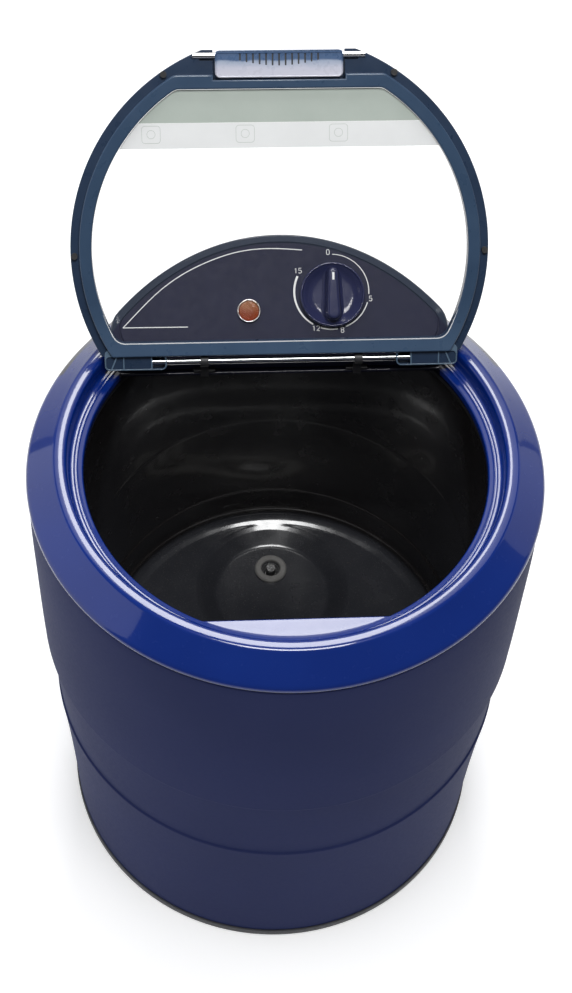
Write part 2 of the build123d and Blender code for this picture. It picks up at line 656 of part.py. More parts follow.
# ================================================================ lid, standing open
HAND_S, HAND_N = 299.0, 3.0     # axis of the handle's rod
with BuildPart() as lid_frame:
    with BuildSketch(LID.offset(-3)):
        with Locations((0, LID_C)):
            Circle(LID_R)
        with Locations((0, (6.6 + LID_FRONT) / 2)):
            Rectangle(430, LID_FRONT - 6.6, mode=Mode.INTERSECT)
    extrude(amount=6)
    with BuildSketch(LID.offset(3)):
        with Locations((0, LID_C)):
            Circle(LID_R - 9)
        with Locations((0, (6.6 + 281) / 2)):
            Rectangle(430, 281 - 6.6, mode=Mode.INTERSECT)
    extrude(amount=7)
    # hinge pockets at the two rear corners
    with BuildSketch(LID.offset(-6)):
        with Locations((-147, 3), (147, 3)):
            RectangleRounded(62, 21, 5)
    extrude(amount=12)
    # window, and the groove that holds the pane
    with BuildSketch(LID.offset(-10)):
        with BuildSketch(mode=Mode.PRIVATE) as win:
            with Locations((0, LID_C)):
                Circle(WIN_R)
            with Locations((0, (WIN_S0 + WIN_S1) / 2)):
                Rectangle(430, WIN_S1 - WIN_S0, mode=Mode.INTERSECT)
            fillet(win.vertices(), 13)
        add(win.sketch)
    extrude(amount=30, mode=Mode.SUBTRACT)
    with BuildSketch(LID.offset(2.9)):
        with BuildSketch(mode=Mode.PRIVATE) as groove:
            with Locations((0, LID_C)):
                Circle(WIN_R + 4.2)
            with Locations((0, (WIN_S0 + WIN_S1) / 2)):
                Rectangle(430, WIN_S1 - WIN_S0 + 8.4, mode=Mode.INTERSECT)
            fillet(groove.vertices(), 16)
        add(groove.sketch)
    extrude(amount=2.2, mode=Mode.SUBTRACT)
    # bay for the handle, saddles for its rod, and the rod's end holes
    with BuildSketch(LID.offset(-10)):
        with Locations((0, 292)):
            Rectangle(128, 32)
    extrude(amount=30, mode=Mode.SUBTRACT)
    with BuildSketch(LID.offset(0)):
        with Locations((-70, 299.6), (70, 299.6)):
            Rectangle(14, 11)
    extrude(amount=20, mode=Mode.SUBTRACT)
    with BuildSketch(Plane(origin=LID.from_local_coords((-84, HAND_S, HAND_N)), x_dir=LID.y_dir, z_dir=(1, 0, 0))):
        Circle(3.0)
    extrude(amount=168, mode=Mode.SUBTRACT)
    # running holes for the hinge rod, and the ribs' spaces in the pockets
    with BuildSketch(Plane(origin=(-180, HINGE_Y, HINGE_Z), x_dir=(0, 1, 0), z_dir=(1, 0, 0))):
        Circle(3.55)
    extrude(amount=360, mode=Mode.SUBTRACT)
    with BuildSketch(LID.offset(4)):
        with Locations((-166, -2), (-156, -2), (-141, -2), (-130, -2), (130, -2), (141, -2), (156, -2), (166, -2)):
            Rectangle(6, 7)
    extrude(amount=4, mode=Mode.SUBTRACT)
lid_frame.part.label = "lid_frame"

with BuildPart() as lid_window:
    with BuildSketch(LID.offset(3)):
        with BuildSketch(mode=Mode.PRIVATE) as pane:
            with Locations((0, LID_C)):
                Circle(WIN_R + 4)
            with Locations((0, (WIN_S0 + WIN_S1) / 2)):
                Rectangle(430, WIN_S1 - WIN_S0 + 8, mode=Mode.INTERSECT)
            fillet(pane.vertices(), 15.8)
        add(pane.sketch)
    extrude(amount=2)
lid_window.part.label = "lid_window"

with BuildSketch() as window_inset:
    with Locations((0, LID_C)):
        Circle(WIN_R - 0.4)
    with Locations((0, (WIN_S0 + WIN_S1) / 2)):
        Rectangle(430, WIN_S1 - WIN_S0 - 0.8, mode=Mode.INTERSECT)
    fillet(window_inset.vertices(), 12.6)

with BuildPart() as upper_band:
    with BuildSketch(LID.offset(5.05)):
        add(window_inset.sketch)
        with Locations((0, (235.6 + 267.1) / 2)):
            Rectangle(430, 267.1 - 235.6, mode=Mode.INTERSECT)
    extrude(amount=0.5)
upper_band.part.label = "upper_band"

with BuildPart() as lower_band:
    with BuildSketch(LID.offset(5.05)):
        add(window_inset.sketch)
        with Locations((0, (211.2 + 235.4) / 2)):
            Rectangle(430, 235.4 - 211.2, mode=Mode.INTERSECT)
    extrude(amount=0.5)
lower_band.part.label = "lower_band"

with BuildPart() as lid_bumpers:
    with BuildSketch(LID.offset(3.05)):
        with Locations((-204.2, 108), (204.2, 108), (-112, 281.8), (112, 281.8)):
            Circle(3.2)
    extrude(amount=4)
lid_bumpers.part.label = "lid_bumpers"

with BuildPart() as lid_handle:
    with BuildSketch(LID.offset(-2)):
        with Locations((0, (278 + 303.8) / 2)):
            RectangleRounded(124, 303.8 - 278, 5)
    extrude(amount=10.5)
    with BuildSketch(LID.offset(6.0)):
        with Locations((0, 287)):
            RectangleRounded(114, 12, 3)
    extrude(amount=20, mode=Mode.SUBTRACT)
    with BuildSketch(LID.offset(5.5)):
        with Locations(*[(-37.8 + 6.3 * i, 300.6 - 0.04 * (i - 6) ** 2) for i in range(13)]):
            Rectangle(2.2, 8)
    extrude(amount=10, mode=Mode.SUBTRACT)
    with BuildSketch(Plane(origin=LID.from_local_coords((-70, HAND_S, HAND_N)), x_dir=LID.y_dir, z_dir=(1, 0, 0))):
        Circle(3.05)
    extrude(amount=140, mode=Mode.SUBTRACT)
lid_handle.part.label = "lid_handle"

with BuildPart() as handle_rod:
    with BuildSketch(Plane(origin=LID.from_local_coords((-83.5, HAND_S, HAND_N)), x_dir=LID.y_dir, z_dir=(1, 0, 0))):
        Circle(2.98)
    extrude(amount=167)
handle_rod.part.label = "handle_rod"

NODES = [base_rim, cabinet_shell, base_pan, base_screws, top_ring, tub_support_ring, tub, tub_seal, hub_ring,
         bearing_housing, upper_bush, lower_bush, shaft_seal, drive_shaft, driven_pulley, pulley_nut, drive_frame,
         frame_spacers, frame_nuts, motor_housing, motor_stator, motor_rotor, motor_bearings, motor_pulley,
         drive_belt, rubber_mounts, motor_bolts, capacitor, capacitor_clamp, drain_strainer, drain_outlet,
         drain_hose_inner, drain_spigot, cord_gland, console_cover, timer_body, timer_spindle, timer_knob,
         lamp_body, lamp_bezel, lamp_lens, wiring_harness, hinge_rod, hinge_bracket_left, hinge_bracket_right,
         lid_frame, lid_window, upper_band, lower_band, lid_bumpers, lid_handle, handle_rod]
for piece in NODES:
    export_step(piece.part, "parts/" + piece.part.label + ".step")
print(len(NODES), "pieces written")
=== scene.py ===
import bpy, bmesh, json, math
import numpy as np
from mathutils import Vector, Matrix


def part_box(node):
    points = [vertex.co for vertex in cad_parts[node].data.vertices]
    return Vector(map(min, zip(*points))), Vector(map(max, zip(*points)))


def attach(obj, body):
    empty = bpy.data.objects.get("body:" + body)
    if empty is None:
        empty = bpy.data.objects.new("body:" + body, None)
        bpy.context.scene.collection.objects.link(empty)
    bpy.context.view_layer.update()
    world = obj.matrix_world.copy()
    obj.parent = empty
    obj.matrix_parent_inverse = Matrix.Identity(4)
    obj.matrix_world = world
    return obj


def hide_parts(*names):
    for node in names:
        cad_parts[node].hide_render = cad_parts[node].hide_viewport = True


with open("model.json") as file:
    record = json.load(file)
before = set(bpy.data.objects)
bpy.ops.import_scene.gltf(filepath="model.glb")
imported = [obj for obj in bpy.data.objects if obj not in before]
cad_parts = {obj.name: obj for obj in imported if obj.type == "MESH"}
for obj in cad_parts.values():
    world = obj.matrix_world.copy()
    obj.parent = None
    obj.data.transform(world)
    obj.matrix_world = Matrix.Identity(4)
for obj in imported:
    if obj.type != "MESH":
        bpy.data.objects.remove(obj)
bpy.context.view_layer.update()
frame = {"nodes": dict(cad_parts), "record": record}
N = frame["nodes"]
SCENE = bpy.context.scene
MM = 0.001

# ---------------------------------------------------------------- camera
cam_data = bpy.data.cameras.new("camera")
cam_data.sensor_fit = "AUTO"
cam_data.sensor_width = 36.0
cam_data.lens = 63.622
cam_data.clip_start = 0.05
cam_data.clip_end = 60.0
cam = bpy.data.objects.new("camera", cam_data)
SCENE.collection.objects.link(cam)
cam_right = Vector((0.998213, -0.051063, 0.031034))
cam_up = Vector((0.023916, 0.817366, 0.575622))
cam_fwd = Vector((0.054759, 0.573851, -0.817127))
cam.matrix_world = Matrix((
    (cam_right.x, cam_up.x, -cam_fwd.x, -0.09618),
    (cam_right.y, cam_up.y, -cam_fwd.y, -1.02327),
    (cam_right.z, cam_up.z, -cam_fwd.z, 2.01863),
    (0, 0, 0, 1)))
SCENE.camera = cam

# ---------------------------------------------------------------- material kit
def material(name):
    m = bpy.data.materials.new(name)
    m.use_nodes = True
    nt = m.node_tree
    nt.nodes.clear()
    out = nt.nodes.new("ShaderNodeOutputMaterial")
    bsdf = nt.nodes.new("ShaderNodeBsdfPrincipled")
    nt.links.new(bsdf.outputs[0], out.inputs[0])
    return m, nt, bsdf


def coords(nt, scale=(1, 1, 1)):
    tc = nt.nodes.new("ShaderNodeTexCoord")
    mp = nt.nodes.new("ShaderNodeMapping")
    mp.inputs["Scale"].default_value = scale
    nt.links.new(tc.outputs["Object"], mp.inputs["Vector"])
    return mp.outputs[0]


def noise(nt, vec, scale, detail=4.0, rough=0.55):
    n = nt.nodes.new("ShaderNodeTexNoise")
    n.inputs["Scale"].default_value = scale
    n.inputs["Detail"].default_value = detail
    n.inputs["Roughness"].default_value = rough
    nt.links.new(vec, n.inputs["Vector"])
    return n.outputs["Fac"]


def ramp(nt, fac, stops):
    r = nt.nodes.new("ShaderNodeValToRGB")
    el = r.color_ramp.elements
    while len(el) > 1:
        el.remove(el[-1])
    el[0].position, el[0].color = stops[0][0], (*stops[0][1], 1) if len(stops[0][1]) == 3 else stops[0][1]
    for pos, col in stops[1:]:
        e = el.new(pos)
        e.color = (*col, 1) if len(col) == 3 else col
    nt.links.new(fac, r.inputs[0])
    return r.outputs[0]


def span(nt, fac, lo, hi, a=0.0, b=1.0):
    r = nt.nodes.new("ShaderNodeMapRange")
    r.inputs["From Min"].default_value = lo
    r.inputs["From Max"].default_value = hi
    r.inputs["To Min"].default_value = a
    r.inputs["To Max"].default_value = b
    nt.links.new(fac, r.inputs["Value"])
    return r.outputs[0]


def mix(nt, fac, a, b):
    m = nt.nodes.new("ShaderNodeMix")
    m.data_type = "RGBA"
    for sock, v in ((m.inputs["Factor"], fac), (m.inputs[6], a), (m.inputs[7], b)):
        if isinstance(v, (int, float)):
            sock.default_value = v
        elif isinstance(v, tuple):
            sock.default_value = (*v, 1) if len(v) == 3 else v
        else:
            nt.links.new(v, sock)
    return m.outputs[2]


def mathn(nt, op, a, b=None, clamp=False):
    m = nt.nodes.new("ShaderNodeMath")
    m.operation = op
    m.use_clamp = clamp
    for sock, v in ((m.inputs[0], a), (m.inputs[1], b)):
        if v is None:
            continue
        if isinstance(v, (int, float)):
            sock.default_value = v
        else:
            nt.links.new(v, sock)
    return m.outputs[0]


def bump(nt, bsdf, height, strength, distance, prev=None):
    b = nt.nodes.new("ShaderNodeBump")
    b.inputs["Strength"].default_value = strength
    b.inputs["Distance"].default_value = distance
    nt.links.new(height, b.inputs["Height"])
    if prev is not None:
        nt.links.new(prev, b.inputs["Normal"])
    nt.links.new(b.outputs[0], bsdf.inputs["Normal"])
    return b.outputs[0]


def axes(nt):
    tc = nt.nodes.new("ShaderNodeTexCoord")
    s = nt.nodes.new("ShaderNodeSeparateXYZ")
    nt.links.new(tc.outputs["Object"], s.inputs[0])
    return s.outputs


def basic(name, col_a, col_b, rough=(0.4, 0.5), metallic=0.0, tex=60.0, bump_s=0.08, bump_scale=900.0, bump_d=0.0002,
          coat=0.0, coat_rough=0.05, ior=1.5, spec=0.5, stretch=(1, 1, 1)):
    """Two close tones broken up by noise, a roughness that wanders, and a fine surface grain."""
    m, nt, p = material(name)
    v = coords(nt, stretch)
    n1 = noise(nt, v, tex, 5.0, 0.6)
    nt.links.new(ramp(nt, n1, [(0.3, col_a), (0.7, col_b)]), p.inputs["Base Color"])
    n2 = noise(nt, v, tex * 3.1, 3.0, 0.5)
    nt.links.new(span(nt, n2, 0.3, 0.7, rough[0], rough[1]), p.inputs["Roughness"])
    p.inputs["Metallic"].default_value = metallic
    p.inputs["IOR"].default_value = ior
    p.inputs["Specular IOR Level"].default_value = spec
    if coat > 0:
        p.inputs["Coat Weight"].default_value = coat
        p.inputs["Coat Roughness"].default_value = coat_rough
    n3 = noise(nt, v, bump_scale, 3.0, 0.6)
    bump(nt, p, n3, bump_s, bump_d)
    return m


MAT = {}
MAT["foot_plastic"] = basic("foot_plastic", (0.020, 0.021, 0.027), (0.028, 0.029, 0.036), (0.45, 0.6), tex=90, bump_s=0.15)


def cabinet_paint():
    """Dark navy paint on drawn sheet: satin, with slight orange peel and a very soft unevenness round the drum."""
    m, nt, p = material("cabinet_paint")
    v = coords(nt)
    big = noise(nt, v, 5.0, 2.0, 0.5)
    fine = noise(nt, v, 260.0, 3.0, 0.5)
    col = mix(nt, span(nt, big, 0.35, 0.65), (0.0235, 0.0310, 0.095), (0.0265, 0.0345, 0.104))
    nt.links.new(col, p.inputs["Base Color"])
    nt.links.new(span(nt, fine, 0.3, 0.7, 0.46, 0.54), p.inputs["Roughness"])
    p.inputs["Specular IOR Level"].default_value = 0.015
    peel = noise(nt, v, 420.0, 2.0, 0.4)
    b1 = bump(nt, p, peel, 0.10, 0.0003)
    wave = noise(nt, coords(nt, (1, 1, 0.35)), 14.0, 1.0, 0.4)
    bump(nt, p, wave, 0.10, 0.002, b1)
    return m


MAT["cabinet_paint"] = cabinet_paint()


def ring_gloss():
    """Glossy deep blue moulding, a clear skin over a saturated body, with faint flow unevenness."""
    m, nt, p = material("ring_gloss")
    v = coords(nt)
    big = noise(nt, v, 9.0, 2.0, 0.5)
    blue = mix(nt, span(nt, big, 0.3, 0.7), (0.0014, 0.0155, 0.140), (0.0022, 0.0195, 0.165))
    ax = axes(nt)
    # Painted shade: the rear deck strip behind the mouth, under the hinge and the console, is painted near-black
    # instead of the ring's blue.
    deck_painted_shade = mathn(nt, "MULTIPLY", span(nt, ax[1], 0.1130, 0.1142), span(nt, ax[2], 0.6262, 0.6250))
    col = mix(nt, deck_painted_shade, blue, (0.010, 0.010, 0.020))
    nt.links.new(col, p.inputs["Base Color"])
    nt.links.new(span(nt, noise(nt, v, 120.0, 3.0, 0.5), 0.3, 0.7, 0.22, 0.28), p.inputs["Roughness"])
    p.inputs["Specular IOR Level"].default_value = 0.15
    p.inputs["Coat Weight"].default_value = 0.9
    p.inputs["Coat Roughness"].default_value = 0.05
    peel = noise(nt, v, 160.0, 2.0, 0.4)
    b1 = bump(nt, p, peel, 0.05, 0.0004)
    flow = noise(nt, v, 22.0, 1.0, 0.4)
    bump(nt, p, flow, 0.12, 0.0015, b1)
    return m


MAT["ring_gloss"] = ring_gloss()


def tub_enamel():
    """Near-black vitreous enamel: wet gloss over a faint fleck, with a slightly wavy skin; the floor is painted a paler
    bluish grey as a painted reflection.
    """
    m, nt, p = material("tub_enamel")
    v = coords(nt)
    big = noise(nt, v, 7.0, 3.0, 0.6)
    base = mix(nt, span(nt, big, 0.3, 0.7), (0.0075, 0.0064, 0.0066), (0.0125, 0.0108, 0.0110))
    # Painted reflection: below about z 0.244 the floor is painted a paler bluish grey, standing in for the sheen it
    # reflects.
    low = span(nt, axes(nt)[2], 0.2440, 0.2480, 1.0, 0.0)
    base = mix(nt, low, base, mix(nt, span(nt, big, 0.3, 0.7), (0.017, 0.018, 0.022), (0.025, 0.026, 0.031)))
    fleck = span(nt, noise(nt, v, 900.0, 1.0, 0.5), 0.66, 0.74)
    nt.links.new(mix(nt, fleck, base, (0.045, 0.042, 0.040)), p.inputs["Base Color"])
    nt.links.new(span(nt, noise(nt, v, 35.0, 3.0, 0.55), 0.3, 0.7, 0.16, 0.30), p.inputs["Roughness"])
    p.inputs["Specular IOR Level"].default_value = 0.62
    p.inputs["Coat Weight"].default_value = 0.5
    p.inputs["Coat Roughness"].default_value = 0.08
    b1 = bump(nt, p, noise(nt, v, 40.0, 2.0, 0.5), 0.04, 0.0012)
    bump(nt, p, noise(nt, v, 420.0, 2.0, 0.5), 0.06, 0.0002, b1)
    return m


MAT["tub_enamel"] = tub_enamel()
MAT["zinc_steel"] = basic("zinc_steel", (0.50, 0.51, 0.50), (0.66, 0.66, 0.63), (0.28, 0.42), 1.0, tex=140, bump_s=0.12)
MAT["black_rubber"] = basic("black_rubber", (0.012, 0.012, 0.013), (0.020, 0.020, 0.021), (0.6, 0.78), tex=120, bump_s=0.25)
MAT["hub_grey"] = basic("hub_grey", (0.15, 0.147, 0.143), (0.19, 0.187, 0.18), (0.32, 0.45), 0.25, tex=200, bump_s=0.12)
MAT["cast_metal"] = basic("cast_metal", (0.42, 0.42, 0.43), (0.55, 0.55, 0.55), (0.4, 0.58), 1.0, tex=160, bump_s=0.35, bump_scale=500)
MAT["bush_bronze"] = basic("bush_bronze", (0.45, 0.29, 0.13), (0.60, 0.40, 0.19), (0.35, 0.5), 1.0, tex=300, bump_s=0.2)
MAT["shaft_steel"] = basic("shaft_steel", (0.36, 0.36, 0.36), (0.52, 0.52, 0.52), (0.22, 0.34), 1.0, tex=220, bump_s=0.1)
MAT["motor_paint"] = basic("motor_paint", (0.22, 0.23, 0.24), (0.30, 0.31, 0.32), (0.4, 0.5), 0.3, tex=120, bump_s=0.2)
MAT["belt_rubber"] = basic("belt_rubber", (0.012, 0.012, 0.012), (0.024, 0.024, 0.024), (0.65, 0.8), tex=260, bump_s=0.3)
MAT["capacitor_can"] = basic("capacitor_can", (0.62, 0.62, 0.58), (0.72, 0.72, 0.68), (0.3, 0.4), tex=80, bump_s=0.08)
MAT["fitting_black"] = basic("fitting_black", (0.016, 0.016, 0.018), (0.026, 0.026, 0.028), (0.42, 0.55), tex=150, bump_s=0.15)
MAT["hose_grey"] = basic("hose_grey", (0.17, 0.17, 0.18), (0.23, 0.23, 0.24), (0.5, 0.62), tex=150, bump_s=0.15)


def console_dark():
    """Satin dark panel inside a glossy rim of the same moulding; the rim is painted paler as a painted reflection."""
    m, nt, p = material("console_dark")
    v = coords(nt)
    ax = axes(nt)
    y2 = mathn(nt, "POWER", mathn(nt, "ADD", ax[1], 0.026), 2.0)
    r = mathn(nt, "SQRT", mathn(nt, "ADD", mathn(nt, "POWER", mathn(nt, "ABSOLUTE", ax[0]), 2.0), y2))
    rim = span(nt, r, 0.2408, 0.2414)
    n1 = span(nt, noise(nt, v, 40.0, 5.0, 0.6), 0.3, 0.7)
    panel = mix(nt, n1, (0.0185, 0.0200, 0.041), (0.0215, 0.0230, 0.047))
    # Painted reflection: the rim band is painted paler and bluer than the panel, standing in for the brighter
    # surroundings the bevel reflects.
    edge = mix(nt, n1, (0.0240, 0.0320, 0.052), (0.0290, 0.0380, 0.060))
    nt.links.new(mix(nt, rim, panel, edge), p.inputs["Base Color"])
    nt.links.new(span(nt, noise(nt, v, 130.0, 3.0, 0.5), 0.3, 0.7, 0.44, 0.54), p.inputs["Roughness"])
    p.inputs["Specular IOR Level"].default_value = 0.10
    nt.links.new(mathn(nt, "MULTIPLY", rim, 0.8), p.inputs["Coat Weight"])
    p.inputs["Coat Roughness"].default_value = 0.07
    bump(nt, p, noise(nt, v, 1400.0, 3.0, 0.6), 0.05, 0.0002)
    return m


MAT["console_dark"] = console_dark()
MAT["knob_dark"] = basic("knob_dark", (0.0165, 0.0195, 0.060), (0.0215, 0.0245, 0.072), (0.16, 0.24), tex=50, bump_s=0.04, coat=0.55, coat_rough=0.06, spec=0.15)
MAT["bezel_silver"] = basic("bezel_silver", (0.46, 0.42, 0.40), (0.60, 0.56, 0.53), (0.18, 0.3), 1.0, tex=200, bump_s=0.05)
MAT["rod_chrome"] = basic("rod_chrome", (0.42, 0.42, 0.43), (0.50, 0.50, 0.51), (0.09, 0.16), 1.0, tex=300, bump_s=0.03, stretch=(0.1, 1, 1))


def lid_dark():
    """Dark teal navy moulding; the top of its raised band is painted a little paler than the flange as a painted
    reflection, with painted sheen along the bar by the hinge and painted highlights on the tops of the hinge pocket
    walls and ribs.
    """
    m, nt, p = material("lid_dark")
    v = coords(nt)
    ax = axes(nt)
    c, q = math.cos(math.radians(50)), math.sin(math.radians(50))
    up = mathn(nt, "SUBTRACT", mathn(nt, "MULTIPLY", ax[2], c), mathn(nt, "MULTIPLY", ax[1], q))
    # Painted reflection: above the raised band's sides its top face is painted paler than the flange.
    raised = span(nt, up, 0.6467 * c - 0.11 * q + 0.0084, 0.6467 * c - 0.11 * q + 0.0092)
    big = span(nt, noise(nt, v, 24.0, 4.0, 0.6), 0.3, 0.7)
    lower = mix(nt, big, (0.0135, 0.0270, 0.056), (0.0175, 0.0330, 0.066))
    upper = mix(nt, big, (0.0240, 0.0480, 0.090), (0.0300, 0.0570, 0.104))
    along = mathn(nt, "ADD", mathn(nt, "MULTIPLY", ax[1], c), mathn(nt, "MULTIPLY", ax[2], q))
    # Painted highlight: the tops of the hinge pocket walls and ribs, below about 14 mm along the lid, are painted a
    # light steel blue.
    rib_painted_highlight = mathn(nt, "MULTIPLY", span(nt, along, 0.11 * c + 0.6467 * q + 0.0136, 0.11 * c + 0.6467 * q + 0.0142, 1.0, 0.0),
                   mathn(nt, "MULTIPLY", span(nt, up, 0.6467 * c - 0.11 * q + 0.0051, 0.6467 * c - 0.11 * q + 0.0055),
                         span(nt, up, 0.6467 * c - 0.11 * q + 0.0066, 0.6467 * c - 0.11 * q + 0.0072, 1.0, 0.0)))
    # Painted reflection: the raised band's bar by the hinge is painted lighter still, fading out by about 60 mm along
    # the lid.
    bar_painted_sheen = span(nt, along, 0.11 * c + 0.6467 * q + 0.014, 0.11 * c + 0.6467 * q + 0.060, 1.0, 0.0)
    upper = mix(nt, bar_painted_sheen, upper, mix(nt, big, (0.040, 0.072, 0.128), (0.048, 0.084, 0.144)))
    body = mix(nt, raised, lower, upper)
    nt.links.new(mix(nt, rib_painted_highlight, body, mix(nt, big, (0.075, 0.120, 0.175), (0.095, 0.145, 0.205))), p.inputs["Base Color"])
    nt.links.new(span(nt, noise(nt, v, 90.0, 3.0, 0.5), 0.3, 0.7, 0.26, 0.35), p.inputs["Roughness"])
    p.inputs["Specular IOR Level"].default_value = 0.25
    p.inputs["Coat Weight"].default_value = 0.3
    p.inputs["Coat Roughness"].default_value = 0.12
    bump(nt, p, noise(nt, v, 700.0, 3.0, 0.6), 0.06, 0.0002)
    return m


MAT["lid_dark"] = lid_dark()
MAT["band_grey"] = basic("band_grey", (0.36, 0.405, 0.368), (0.385, 0.43, 0.392), (0.3, 0.38), tex=30, bump_s=0.03)
MAT["band_white"] = basic("band_white", (0.66, 0.67, 0.67), (0.69, 0.70, 0.70), (0.32, 0.4), tex=30, bump_s=0.03)


def lens_amber():
    """Prismatic amber pilot lens: paler at the upper edge where the light gets in, with a diagonal cross-hatch."""
    m, nt, p = material("lens_amber")
    ax = axes(nt)
    z = span(nt, ax[2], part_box("lamp_lens")[0].z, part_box("lamp_lens")[1].z)
    col = ramp(nt, z, [(0.0, (0.30, 0.030, 0.004)), (0.45, (0.22, 0.040, 0.009)), (0.8, (0.26, 0.095, 0.035)), (1.0, (0.20, 0.10, 0.055))])
    nt.links.new(col, p.inputs["Base Color"])
    w1 = nt.nodes.new("ShaderNodeTexWave"); w2 = nt.nodes.new("ShaderNodeTexWave")
    w1.bands_direction = "DIAGONAL"; w2.bands_direction = "X"
    for w, s in ((w1, (1.0, 1.0, 1.0)), (w2, (1.0, -0.8, -0.6))):
        w.inputs["Scale"].default_value = 190.0
        nt.links.new(coords(nt, s), w.inputs["Vector"])
    h = mathn(nt, "ADD", w1.outputs["Fac"], w2.outputs["Fac"])
    nt.links.new(span(nt, h, 0.0, 2.0, 0.12, 0.26), p.inputs["Roughness"])
    p.inputs["Coat Weight"].default_value = 0.6
    p.inputs["Subsurface Weight"].default_value = 0.15
    p.inputs["Subsurface Radius"].default_value = (0.004, 0.001, 0.0005)
    p.inputs["Emission Strength"].default_value = 0.05
    nt.links.new(col, p.inputs["Emission Color"])
    bump(nt, p, h, 0.5, 0.0004)
    return m


MAT["lens_amber"] = lens_amber()


def window_clear():
    """Clear pane: almost all the light goes through, with a Fresnel sheen and a whisper of smear."""
    m, nt, p = material("window_clear")
    v = coords(nt)
    nt.links.new(mix(nt, span(nt, noise(nt, v, 12.0, 3.0, 0.6), 0.3, 0.7), (0.020, 0.024, 0.023), (0.030, 0.034, 0.033)), p.inputs["Base Color"])
    nt.links.new(span(nt, noise(nt, v, 60.0, 3.0, 0.6), 0.35, 0.7, 0.0, 0.03), p.inputs["Roughness"])
    p.inputs["Alpha"].default_value = 0.04
    p.inputs["Specular IOR Level"].default_value = 0.5
    bump(nt, p, noise(nt, v, 8.0, 1.0, 0.4), 0.02, 0.001)
    return m


MAT["window_clear"] = window_clear()


def handle_plastic():
    """The handle's moulding: its own dark blue at its far edge, going to a pale grey lilac towards the window that is a
    painted reflection.
    """
    m, nt, p = material("handle_plastic")
    ax = axes(nt)
    v = coords(nt)
    z = span(nt, ax[2], 0.8590, 0.8810)
    n1 = noise(nt, v, 60.0, 4.0, 0.55)
    n1 = mathn(nt, "ADD", z, span(nt, n1, 0.3, 0.7, -0.04, 0.04))
    # Painted reflection: the ramp pales the moulding to grey lilac from the far edge down towards the window.
    col = ramp(nt, n1, [(0.0, (0.52, 0.51, 0.56)), (0.55, (0.45, 0.46, 0.54)), (0.78, (0.27, 0.32, 0.42)), (0.84, (0.05, 0.095, 0.19)), (1.0, (0.05, 0.095, 0.19))])
    nt.links.new(col, p.inputs["Base Color"])
    nt.links.new(span(nt, noise(nt, v, 200.0, 3.0, 0.5), 0.3, 0.7, 0.24, 0.34), p.inputs["Roughness"])
    p.inputs["Coat Weight"].default_value = 0.3
    p.inputs["Coat Roughness"].default_value = 0.12
    bump(nt, p, noise(nt, v, 700.0, 2.0, 0.5), 0.06, 0.0002)
    return m


slots = {s["node"]: s["material_slot"] for s in frame["record"]["subparts"]}
for name, o in N.items():
    o.data.materials.clear()
    o.data.materials.append(MAT[slots[name]])

# ---------------------------------------------------------------- geometry kit (input in mm, objects in m)
def nspline(pts, per=6):
    """Samples a natural cubic spline through pts."""
    p = np.array(pts, float)
    u = np.concatenate([[0], np.cumsum(np.sqrt(((p[1:] - p[:-1]) ** 2).sum(1)))])
    n = len(p)
    h = u[1:] - u[:-1]
    a = np.zeros((n, n))
    b = np.zeros((n, p.shape[1]))
    a[0, 0] = a[-1, -1] = 1
    for i in range(1, n - 1):
        a[i, i - 1], a[i, i], a[i, i + 1] = h[i - 1], 2 * (h[i - 1] + h[i]), h[i]
        b[i] = 6 * ((p[i + 1] - p[i]) / h[i] - (p[i] - p[i - 1]) / h[i - 1])
    m = np.linalg.solve(a, b)
    out = []
    for i in range(n - 1):
        for k in range(per):
            t = k / per * h[i]
            s = h[i] - t
            out.append(tuple((m[i] * s ** 3 + m[i + 1] * t ** 3) / (6 * h[i]) + (p[i] / h[i] - m[i] * h[i] / 6) * s
                             + (p[i + 1] / h[i] - m[i + 1] * h[i] / 6) * t))
    out.append(tuple(p[-1]))
    return out


def new_object(name, verts, faces, sharp=38.0):
    me = bpy.data.meshes.new(name)
    bm = bmesh.new()
    vs = [bm.verts.new((v[0] * MM, v[1] * MM, v[2] * MM)) for v in verts]
    for f in faces:
        if len(set(f)) == len(f):
            bm.faces.new([vs[i] for i in f])
    bmesh.ops.remove_doubles(bm, verts=bm.verts, dist=1e-7)
    bmesh.ops.recalc_face_normals(bm, faces=bm.faces)
    lim = math.radians(sharp)
    for f in bm.faces:
        f.smooth = True
    for e in bm.edges:
        if len(e.link_faces) == 2 and e.calc_face_angle(0) > lim:
            e.smooth = False
    bm.to_mesh(me)
    bm.free()
    o = bpy.data.objects.new(name, me)
    SCENE.collection.objects.link(o)
    return o


def grid_faces(nr, nc, close_r, close_c, base=0):
    fs = []
    for i in range(nr if close_r else nr - 1):
        for j in range(nc if close_c else nc - 1):
            a = base + i * nc + j
            b = base + i * nc + (j + 1) % nc
            c = base + ((i + 1) % nr) * nc + (j + 1) % nc
            d = base + ((i + 1) % nr) * nc + j
            fs.append((a, b, c, d))
    return fs


def lathe(name, prof, n=256, at=(0, 0), plane=None, closed=True, sharp=38.0):
    """Closed (r, h) profile turned about an axis: upright at `at`, or along a plane's normal."""
    vs = []
    for r, h in prof:
        for k in range(n):
            a = 2 * math.pi * k / n
            if plane is None:
                vs.append((at[0] + r * math.cos(a), at[1] + r * math.sin(a), h))
            else:
                vs.append(plane(at[0] + r * math.cos(a), at[1] + r * math.sin(a), h))
    return new_object(name, vs, grid_faces(len(prof), n, closed, True), sharp)


def lid_at(x, s, n):
    c, q = math.cos(math.radians(50)), math.sin(math.radians(50))
    return (x, 110 + s * c - n * q, 646.7 + s * q + n * c)


def con_at(x, t, n):
    c, q = math.cos(math.radians(36)), math.sin(math.radians(36))
    return (x, 110 + t * c - n * q, 630 + t * q + n * c)


def flat_at(x, y, z):
    return (x, y, z)


